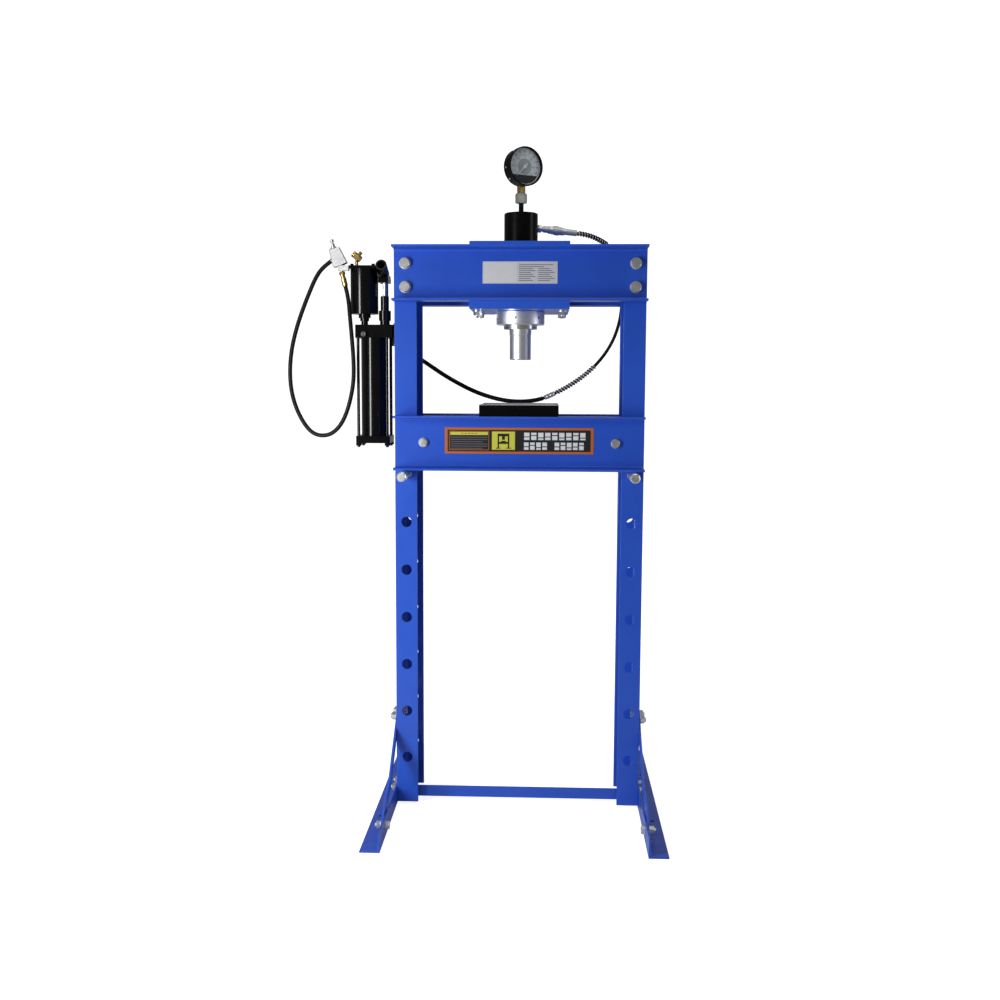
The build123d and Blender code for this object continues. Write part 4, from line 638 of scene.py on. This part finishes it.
# %% Finish each node
FINISHES = (
    (BLUE, "left_post right_post front_top_beam rear_top_beam lower_cross_bar left_foot right_foot "
           "foot_braces head_top_plate head_bottom_plate front_bed_channel rear_bed_channel"),
    (ZINC, "head_studs top_beam_bolts foot_bolts bed_ties left_bed_pin right_bed_pin gauge_union_nut"),
    (DARK_STEEL, "return_spring release_valve_knob"),
    (BLACK_SATIN, "gauge_pipe gauge_case gauge_bezel"),
    (CYLINDER_FINISH, "ram_cylinder"),
    (ARBOR_FINISH, "left_arbor_plate right_arbor_plate"),
    (BLACK_GLOSS, "pump_mounting_plate pump_block reservoir_tube reservoir_end_plate reservoir_tie_rods "
                  "outlet_elbow air_motor_head air_motor_cylinder air_motor_base hand_pump_barrel handle_socket"),
    (BRIGHT, "collar_ring ram_rod ram_tip ram_piston hand_pump_plunger air_motor_piston port_fittings"),
    (CAST, "air_valve_body air_valve_lever air_inlet_block"),
    (BRASS, "cylinder_gland gauge_stem breather_fitting air_hose_fittings"),
    (DIAL, "gauge_dial"),
    (INK_WHITE, "gauge_needle"),
    (GLASS, "gauge_glass"),
    (PLATE, "name_plate"),
    (INK_ORANGE, "instruction_panel"),
)


def cad_objects(name):
    """The scene objects of one node."""
    return [o for o in bpy.context.scene.objects if o.get("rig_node") == name or o.name == name]


def finish(piece, material):
    piece.data.materials.clear()
    piece.data.materials.append(material)


for material, names in FINISHES:
    for name in names.split():
        for piece in cad_objects(name):
            finish(piece, material)
finish(pressure_hose, RUBBER)
finish(air_hose, RUBBER)
finish(rubber_sleeve, RUBBER)
finish(steel_joint, ZINC)
finish(lower_guard, BLACK_SATIN)
finish(upper_guard, BLACK_SATIN)
finish(lower_braid, BRAID)
finish(upper_braid, BRAID)
unfinished = [n for n in frame["nodes"] if not cad_objects(n if isinstance(n, str) else n["name"])]
print("nodes without an object:", unfinished)

# %% [markdown]
# ## Printing on the panels
# The bed carries a bright printed panel and the head a silver plate. Real lettering and
# marks belong to a maker, so the printing here is only bars, a frame and a small picture
# of a press. Print is a film of ink that stands a tenth of a millimetre proud, and so each
# colour is a set of flat bars, extruded together. A texture would blur at this size.

# %% Ink bars
INK = 0.0001


def join(pieces, name):
    """One mesh object out of several, with its place in the mesh."""
    deselect()
    for piece in pieces:
        piece.select_set(True)
    bpy.context.view_layer.objects.active = pieces[0]
    if len(pieces) > 1:
        bpy.ops.object.join()
    joined = bpy.context.object
    bpy.ops.object.transform_apply(location=True, rotation=True, scale=True)
    joined.name = name
    return joined


def edit_all(piece, *operators):
    """Runs edit-mode operators on the whole of one piece."""
    select_only(piece)
    bpy.ops.object.mode_set(mode="EDIT")
    bpy.ops.mesh.select_all(action="SELECT")
    for operator in operators:
        operator()
    bpy.ops.object.mode_set(mode="OBJECT")


def printed(name, front_y, bars, body, ink, lift=INK):
    """Bars of ink, each (left, bottom, right, top), on a plate that faces the front."""
    planes = []
    for left, bottom, right, top in bars:
        deselect()
        middle = ((left + right) / 2, front_y, (bottom + top) / 2)
        bpy.ops.mesh.primitive_plane_add(size=1.0, location=middle, rotation=(math.pi / 2, 0, 0))
        bpy.context.object.scale = (right - left, top - bottom, 1.0)
        planes.append(bpy.context.object)
    film = join(planes, name)
    edit_all(
        film,
        lambda: bpy.ops.mesh.extrude_region_move(TRANSFORM_OT_translate={"value": (0.0, -lift, 0.0)}),
        lambda: bpy.ops.mesh.select_all(action="SELECT"),
        lambda: bpy.ops.mesh.normals_make_consistent(inside=False),
    )
    film.data.materials.append(ink)
    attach(film, body)
    print(name, "has", len(bars), "bars")
    return film


def bar_frame(left, bottom, right, top, wide):
    """Four bars that outline a rectangle."""
    return [
        (left, bottom, right, bottom + wide), (left, top - wide, right, top),
        (left, bottom + wide, left + wide, top - wide), (right - wide, bottom + wide, right, top - wide),
    ]


# %% The panel on the bed
(panel_left, panel_front, panel_low), (panel_right, _, panel_high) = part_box("instruction_panel")
panel_mid = (panel_low + panel_high) / 2
FIELD = (panel_left + 0.0075, panel_low + 0.006, panel_right - 0.0075, panel_high - 0.006)
printed("panel_black_field", panel_front, [FIELD], "bed", INK_BLACK)
layer = panel_front - INK
LEFT_BOX = (-0.182, panel_mid - 0.0245, -0.078, panel_mid + 0.0252)
copper = bar_frame(*LEFT_BOX, 0.0014)
header = (LEFT_BOX[0] + 0.003, LEFT_BOX[3] - 0.0105, LEFT_BOX[2] - 0.003, LEFT_BOX[3] - 0.0025)
lines = [
    (LEFT_BOX[0] + 0.004, LEFT_BOX[3] - 0.0175 - 0.0058 * row,
     LEFT_BOX[2] - 0.004 - 0.012 * (row % 3 == 2), LEFT_BOX[3] - 0.0150 - 0.0058 * row)
    for row in range(6)
]
SQUARE = (-0.0705, panel_mid - 0.0235, -0.0105, panel_mid + 0.0240)
dashes = [
    (header[0] + 0.028 + 0.009 * index, header[1] + 0.0028,
     header[0] + 0.034 + 0.009 * index, header[3] - 0.0026)
    for index in range(5)
]
printed("panel_copper_lines", layer, copper, "bed", INK_ORANGE)
printed("panel_small_rows", layer, lines, "bed", INK_GREY)
printed("panel_yellow_areas", layer, [header, SQUARE], "bed", INK_YELLOW)
printed("panel_header_dashes", layer - INK, dashes, "bed", INK_ORANGE)


def press_picture(x, z, size):
    """Bars that draw a small press: posts, beams, ram, feet."""
    shapes = [
        (-0.40, -0.50, -0.30, 0.46), (0.30, -0.50, 0.40, 0.46), (-0.30, 0.28, 0.30, 0.46),
        (-0.30, -0.24, 0.30, -0.10), (-0.10, 0.04, 0.10, 0.28), (-0.52, -0.56, -0.20, -0.50),
        (0.20, -0.56, 0.52, -0.50), (-0.16, -0.10, 0.16, -0.03),
    ]
    return [(x + l * size, z + b * size, x + r * size, z + t * size) for l, b, r, t in shapes]


square_x = (SQUARE[0] + SQUARE[2]) / 2
picture = press_picture(square_x, panel_mid + 0.001, 0.038)
printed("panel_press_picture", layer - INK, picture, "bed", INK_BLACK)


def slab_row(left, right, bottom, top, groups):
    """White slabs in groups, evenly spaced. A gap splits each, higher or lower in turn."""
    count = sum(groups) + len(groups) - 1
    pitch = (right - left) / count
    bars, place = [], 0
    for group in groups:
        for number in range(group):
            start, end = left + pitch * (place + 0.12), left + pitch * (place + 0.88)
            split = bottom + (top - bottom) * (0.42, 0.62, 0.30)[number % 3]
            bars += [(start, bottom, end, split - 0.0012), (start, split + 0.0012, end, top)]
            place += 1
        place += 1
    return bars


slabs = slab_row(0.011, 0.1745, panel_mid + 0.0025, panel_mid + 0.0215, (9,))
slabs += slab_row(0.011, 0.1700, panel_mid - 0.0230, panel_mid - 0.0040, (4, 5))
printed("panel_white_slabs", layer, slabs, "bed", INK_WHITE)

# %% The plate on the head
(plate_left, plate_front, plate_low), (plate_right, _, plate_high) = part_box("name_plate")
split_x = plate_left + 0.46 * (plate_right - plate_left)
light_half = (plate_left + 0.003, plate_low + 0.003, split_x, plate_high - 0.003)
printed("plate_light_half", plate_front, [light_half], "frame", PLATE_PALE)
fine_rows = []
for row in range(9):
    row_top = plate_high - 0.0075 - 0.0050 * row
    for column in range(2 if row > 1 else 1):
        width = 0.044 if row > 1 else 0.092
        start = split_x + 0.005 + 0.049 * column
        end = start + width * (0.95 - 0.13 * ((row * 2 + column) % 3))
        fine_rows.append((start, row_top - 0.0016, end, row_top))
printed("plate_fine_rows", plate_front, fine_rows, "frame", INK_GREY)

# %% [markdown]
# ## The gauge face
# A pressure gauge has a scale of fine and heavy ticks, numbers, a grey centre, and a dark
# patch at the foot of the dial. The dial is turned to the right, so everything is made flat
# round the origin and is then set on the dial by one matrix. The ticks are one bar each,
# spun round the dial by copying, because their number and length vary along the scale.

# %% Ticks, numbers and patches
GAUGE_TURN = math.radians(32.0)
gauge_low, gauge_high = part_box("gauge_case")
gauge_normal = Vector((math.sin(GAUGE_TURN), -math.cos(GAUGE_TURN), 0.0))
gauge_across = Vector((math.cos(GAUGE_TURN), math.sin(GAUGE_TURN), 0.0))
GAUGE_HEIGHT = (gauge_low[2] + gauge_high[2]) / 2
DIAL_FACE = 0.017
SCALE_START = 225.0
SCALE_SWEEP = 270.0
OUTER_SCALE = 0.0445
INNER_SCALE = 0.0305
OUTER_NUMBERS = 0.0368
INNER_NUMBERS = 0.0248
HEAVY_TICK = 0.0011
FINE_TICK = 0.0006
PATCH_RADIUS = 0.0430
PATCH_TOP = -0.0215
GREY_RADIUS = 0.0205


def on_dial(depth):
    """The matrix that sets a flat drawing on the gauge, at a depth in front of its stem."""
    axes = Matrix((gauge_across, Vector((0, 0, 1)), gauge_normal)).transposed().to_4x4()
    place = gauge_normal * depth + Vector((0.0, 0.0, GAUGE_HEIGHT))
    return Matrix.Translation(place) @ axes


def set_on_dial(pieces, name, depth, ink, body="frame"):
    drawing = join(pieces, name)
    drawing.matrix_world = on_dial(depth)
    select_only(drawing)
    bpy.ops.object.transform_apply(location=True, rotation=True, scale=True)
    finish(drawing, ink)
    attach(drawing, body)
    return drawing


def tick(angle, inner, outer, wide):
    """A flat bar from one radius to another at an angle in degrees."""
    deselect()
    bpy.ops.mesh.primitive_plane_add(size=1.0)
    bar = bpy.context.object
    bar.scale = (outer - inner, wide, 1.0)
    turn = math.radians(angle)
    middle = (inner + outer) / 2
    bar.location = (math.cos(turn) * middle, math.sin(turn) * middle, 0.0)
    bar.rotation_euler = (0.0, 0.0, turn)
    return bar


def scale_ticks(steps, heavy, outer, long, short):
    """Ticks along the scale, every heavy-th one longer and wider."""
    ticks = []
    for step in range(steps + 1):
        angle = SCALE_START - SCALE_SWEEP * step / steps
        main = step % heavy == 0
        inner = outer - (long if main else short)
        ticks.append(tick(angle, inner, outer, HEAVY_TICK if main else FINE_TICK))
    return ticks


def scale_numbers(values, radius, size):
    """Upright numbers along the scale, as flat meshes."""
    made = []
    for index, value in enumerate(values):
        angle = math.radians(SCALE_START - SCALE_SWEEP * index / (len(values) - 1))
        deselect()
        bpy.ops.object.text_add(location=(radius * math.cos(angle), radius * math.sin(angle), 0.0))
        text = bpy.context.object
        text.data.body = str(value)
        text.data.size = size
        text.data.align_x = "CENTER"
        text.data.align_y = "CENTER"
        text.data.resolution_u = 3
        bpy.ops.object.convert(target="MESH")
        made.append(bpy.context.object)
    return made


def dial_patch():
    """The dark patch: a disc, cut off above a chord."""
    deselect()
    bpy.ops.mesh.primitive_circle_add(vertices=96, radius=PATCH_RADIUS, fill_type="NGON")
    patch = bpy.context.object
    bpy.ops.object.mode_set(mode="EDIT")
    bpy.ops.mesh.select_all(action="SELECT")
    bpy.ops.mesh.bisect(plane_co=(0.0, PATCH_TOP, 0.0), plane_no=(0.0, 1.0, 0.0), clear_outer=True)
    bpy.ops.object.mode_set(mode="OBJECT")
    return patch


ticks = scale_ticks(60, 5, OUTER_SCALE, 0.0040, 0.0022) + scale_ticks(60, 10, INNER_SCALE, 0.0030, 0.0016)
set_on_dial(ticks, "dial_ticks", DIAL_FACE + 0.00012, INK_BLACK)
numbers = scale_numbers(range(0, 65, 5), OUTER_NUMBERS, 0.0062)
numbers += scale_numbers(range(0, 35, 5), INNER_NUMBERS, 0.0052)
set_on_dial(numbers, "dial_numbers", DIAL_FACE + 0.00012, INK_BLACK)
set_on_dial([dial_patch()], "dial_dark_patch", DIAL_FACE + 0.00008, INK_BLACK)
deselect()
bpy.ops.mesh.primitive_circle_add(vertices=72, radius=GREY_RADIUS, fill_type="NGON")
set_on_dial([bpy.context.object], "dial_grey_centre", DIAL_FACE + 0.00006, DIAL_GREY)
print("dial ticks:", len(ticks), "numbers:", len(numbers))

# %% [markdown]
# ## Small screws
# The gauge case is held by little dome screws in its rim, and the air motor's square head
# by four socket screws. A screw head is a short cylinder with its top edge rounded and a
# socket pushed in: inset the top face, extrude it down. It is modelled once and copied.

# %% Socket and dome screws
def pick_faces(piece, wanted):
    """Selects the faces of the piece being edited that wanted(face) accepts."""
    mesh = bmesh.from_edit_mesh(piece.data)
    for face in mesh.faces:
        face.select_set(wanted(face))
    bmesh.update_edit_mesh(piece.data)


def screw_head(name, radius, height, socket, depth):
    """A screw head that stands on the origin and points up."""
    deselect()
    bpy.ops.mesh.primitive_cylinder_add(vertices=36, radius=radius, depth=height,
                                        location=(0, 0, height / 2))
    head = bpy.context.object
    head.name = name
    bpy.ops.object.transform_apply(location=True)
    bpy.ops.object.mode_set(mode="EDIT")
    bpy.ops.mesh.select_mode(type="FACE")
    pick_faces(head, lambda face: face.normal.z > 0.9)
    bpy.ops.mesh.bevel(offset=radius * 0.16, segments=3)
    pick_faces(head, lambda face: face.normal.z > 0.9 and face.calc_area() > radius * radius)
    bpy.ops.mesh.inset(thickness=radius * 0.84 - socket)
    bpy.ops.mesh.extrude_region_move(TRANSFORM_OT_translate={"value": (0.0, 0.0, -depth)})
    bpy.ops.object.mode_set(mode="OBJECT")
    bpy.ops.object.shade_smooth_by_angle(angle=math.radians(35))
    return head


def place_copy(source, matrix):
    """A copy of a piece with its own mesh, set by a matrix."""
    copy = source.copy()
    copy.data = source.data.copy()
    bpy.context.scene.collection.objects.link(copy)
    copy.matrix_world = matrix
    return copy


def group_of(source, name, matrices, material, body):
    """Copies of one small piece, joined into one, in place of the first."""
    copies = [place_copy(source, matrix) for matrix in matrices]
    bpy.data.objects.remove(source)
    bpy.context.view_layer.update()
    group = join(copies, name)
    finish(group, material)
    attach(group, body)
    print(name, "has", len(matrices), "copies and", len(group.data.polygons), "faces")
    return group


motor_low, motor_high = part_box("air_motor_head")
motor_x = (motor_low[0] + motor_high[0]) / 2
SCREW_INSET = 0.0085
corner = (motor_high[0] - motor_low[0]) / 2 - SCREW_INSET
corners = [(motor_x + sx * corner, sy * corner) for sx in (-1, 1) for sy in (-1, 1)]
group_of(screw_head("socket_screw", 0.0045, 0.0045, 0.0024, 0.0025), "motor_head_screws",
         [Matrix.Translation((x, y, motor_high[2])) for x, y in corners], BLACK_GLOSS, "frame")

CASE_RADIUS = 0.048
CASE_MIDDLE = 0.002
SCREW_SINK = 0.0004
CASE_SCREWS = (60.0, 120.0, 185.0, 222.0, 318.0)


def rim_matrix(angle):
    """A place on the gauge case's side, with the screw pointing outwards."""
    turn = math.radians(angle)
    outward = Vector((math.cos(turn), math.sin(turn), 0.0))
    tangent = Vector((-math.sin(turn), math.cos(turn), 0.0))
    axes = Matrix((tangent, Vector((0, 0, 1)), outward)).transposed().to_4x4()
    return on_dial(CASE_MIDDLE) @ Matrix.Translation(outward * (CASE_RADIUS - SCREW_SINK)) @ axes


group_of(screw_head("dome_screw", 0.0026, 0.0013, 0.0010, 0.0006), "gauge_case_screws",
         [rim_matrix(angle) for angle in CASE_SCREWS], ZINC, "frame")

# %% [markdown]
# ## Weld beads
# The cross bar is welded to its end plates. A hand-laid bead is a row of overlapping
# ripples, so the bead here is a thin tube whose thickness swells and shrinks along its
# length, laid in the corner between the two pieces.

# %% Weld beads on the cross bar
bar_low, bar_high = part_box("lower_cross_bar")
END_PLATE = 0.006
BEAD = 0.0022
RIPPLE = 0.0024


def weld_bead(name, start, end):
    """A rippled bead from one point to another."""
    start, end = Vector(start), Vector(end)
    count = max(6, round((end - start).length / (RIPPLE / 4)))
    points = [start.lerp(end, index / count) for index in range(count + 1)]
    swell = [abs(math.sin(math.pi * index / 4)) for index in range(count + 1)]
    radii = [BEAD * (0.82 + 0.18 * rise) for rise in swell]
    return tube_mesh(name, points, radii, 12)


BAR_BACK = -0.047
BAR_LEG = 0.030
beads = []
for side in (-1, 1):
    x = side * (bar_high[0] - END_PLATE)
    low, high = bar_low[2], bar_high[2]
    behind, leg_top = BAR_BACK - 0.0004, low + 0.0046
    beads.append(weld_bead("bead", (x, behind, low + 0.003), (x, behind, high - 0.002)))
    beads.append(weld_bead("bead", (x, BAR_BACK + 0.006, leg_top), (x, BAR_BACK + BAR_LEG - 0.003, leg_top)))
welds = join(beads, "cross_bar_welds")
finish(welds, BLUE)
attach(welds, "frame")
print("weld beads:", len(beads), "faces:", len(welds.data.polygons))

# %% [markdown]
# ## Material slots
# The record lists the real materials of the object as slots. A table below lists the new pieces under each slot,
# and the script prints how many each slot has.

# %% List the new pieces under each slot
SLOTS = {
    "hose_rubber": "oil_hose rubber_air_hose rubber_sleeve",
    "zinc_steel": "steel_joint lower_steel_braid upper_steel_braid gauge_case_screws",
    "black_enamel": "lower_spring_guard upper_spring_guard motor_head_screws",
    "plate_label": "panel_black_field panel_copper_lines panel_small_rows panel_yellow_areas "
                   "panel_header_dashes panel_press_picture panel_white_slabs "
                   "plate_light_half plate_fine_rows",
    "dial_white": "dial_ticks dial_numbers dial_dark_patch dial_grey_centre",
    "blue_paint": "cross_bar_welds",
}
for slot, names in SLOTS.items():
    print(slot, "is used by", len(names.split()), "new pieces")

# %% Update the scene
bpy.context.view_layer.update()
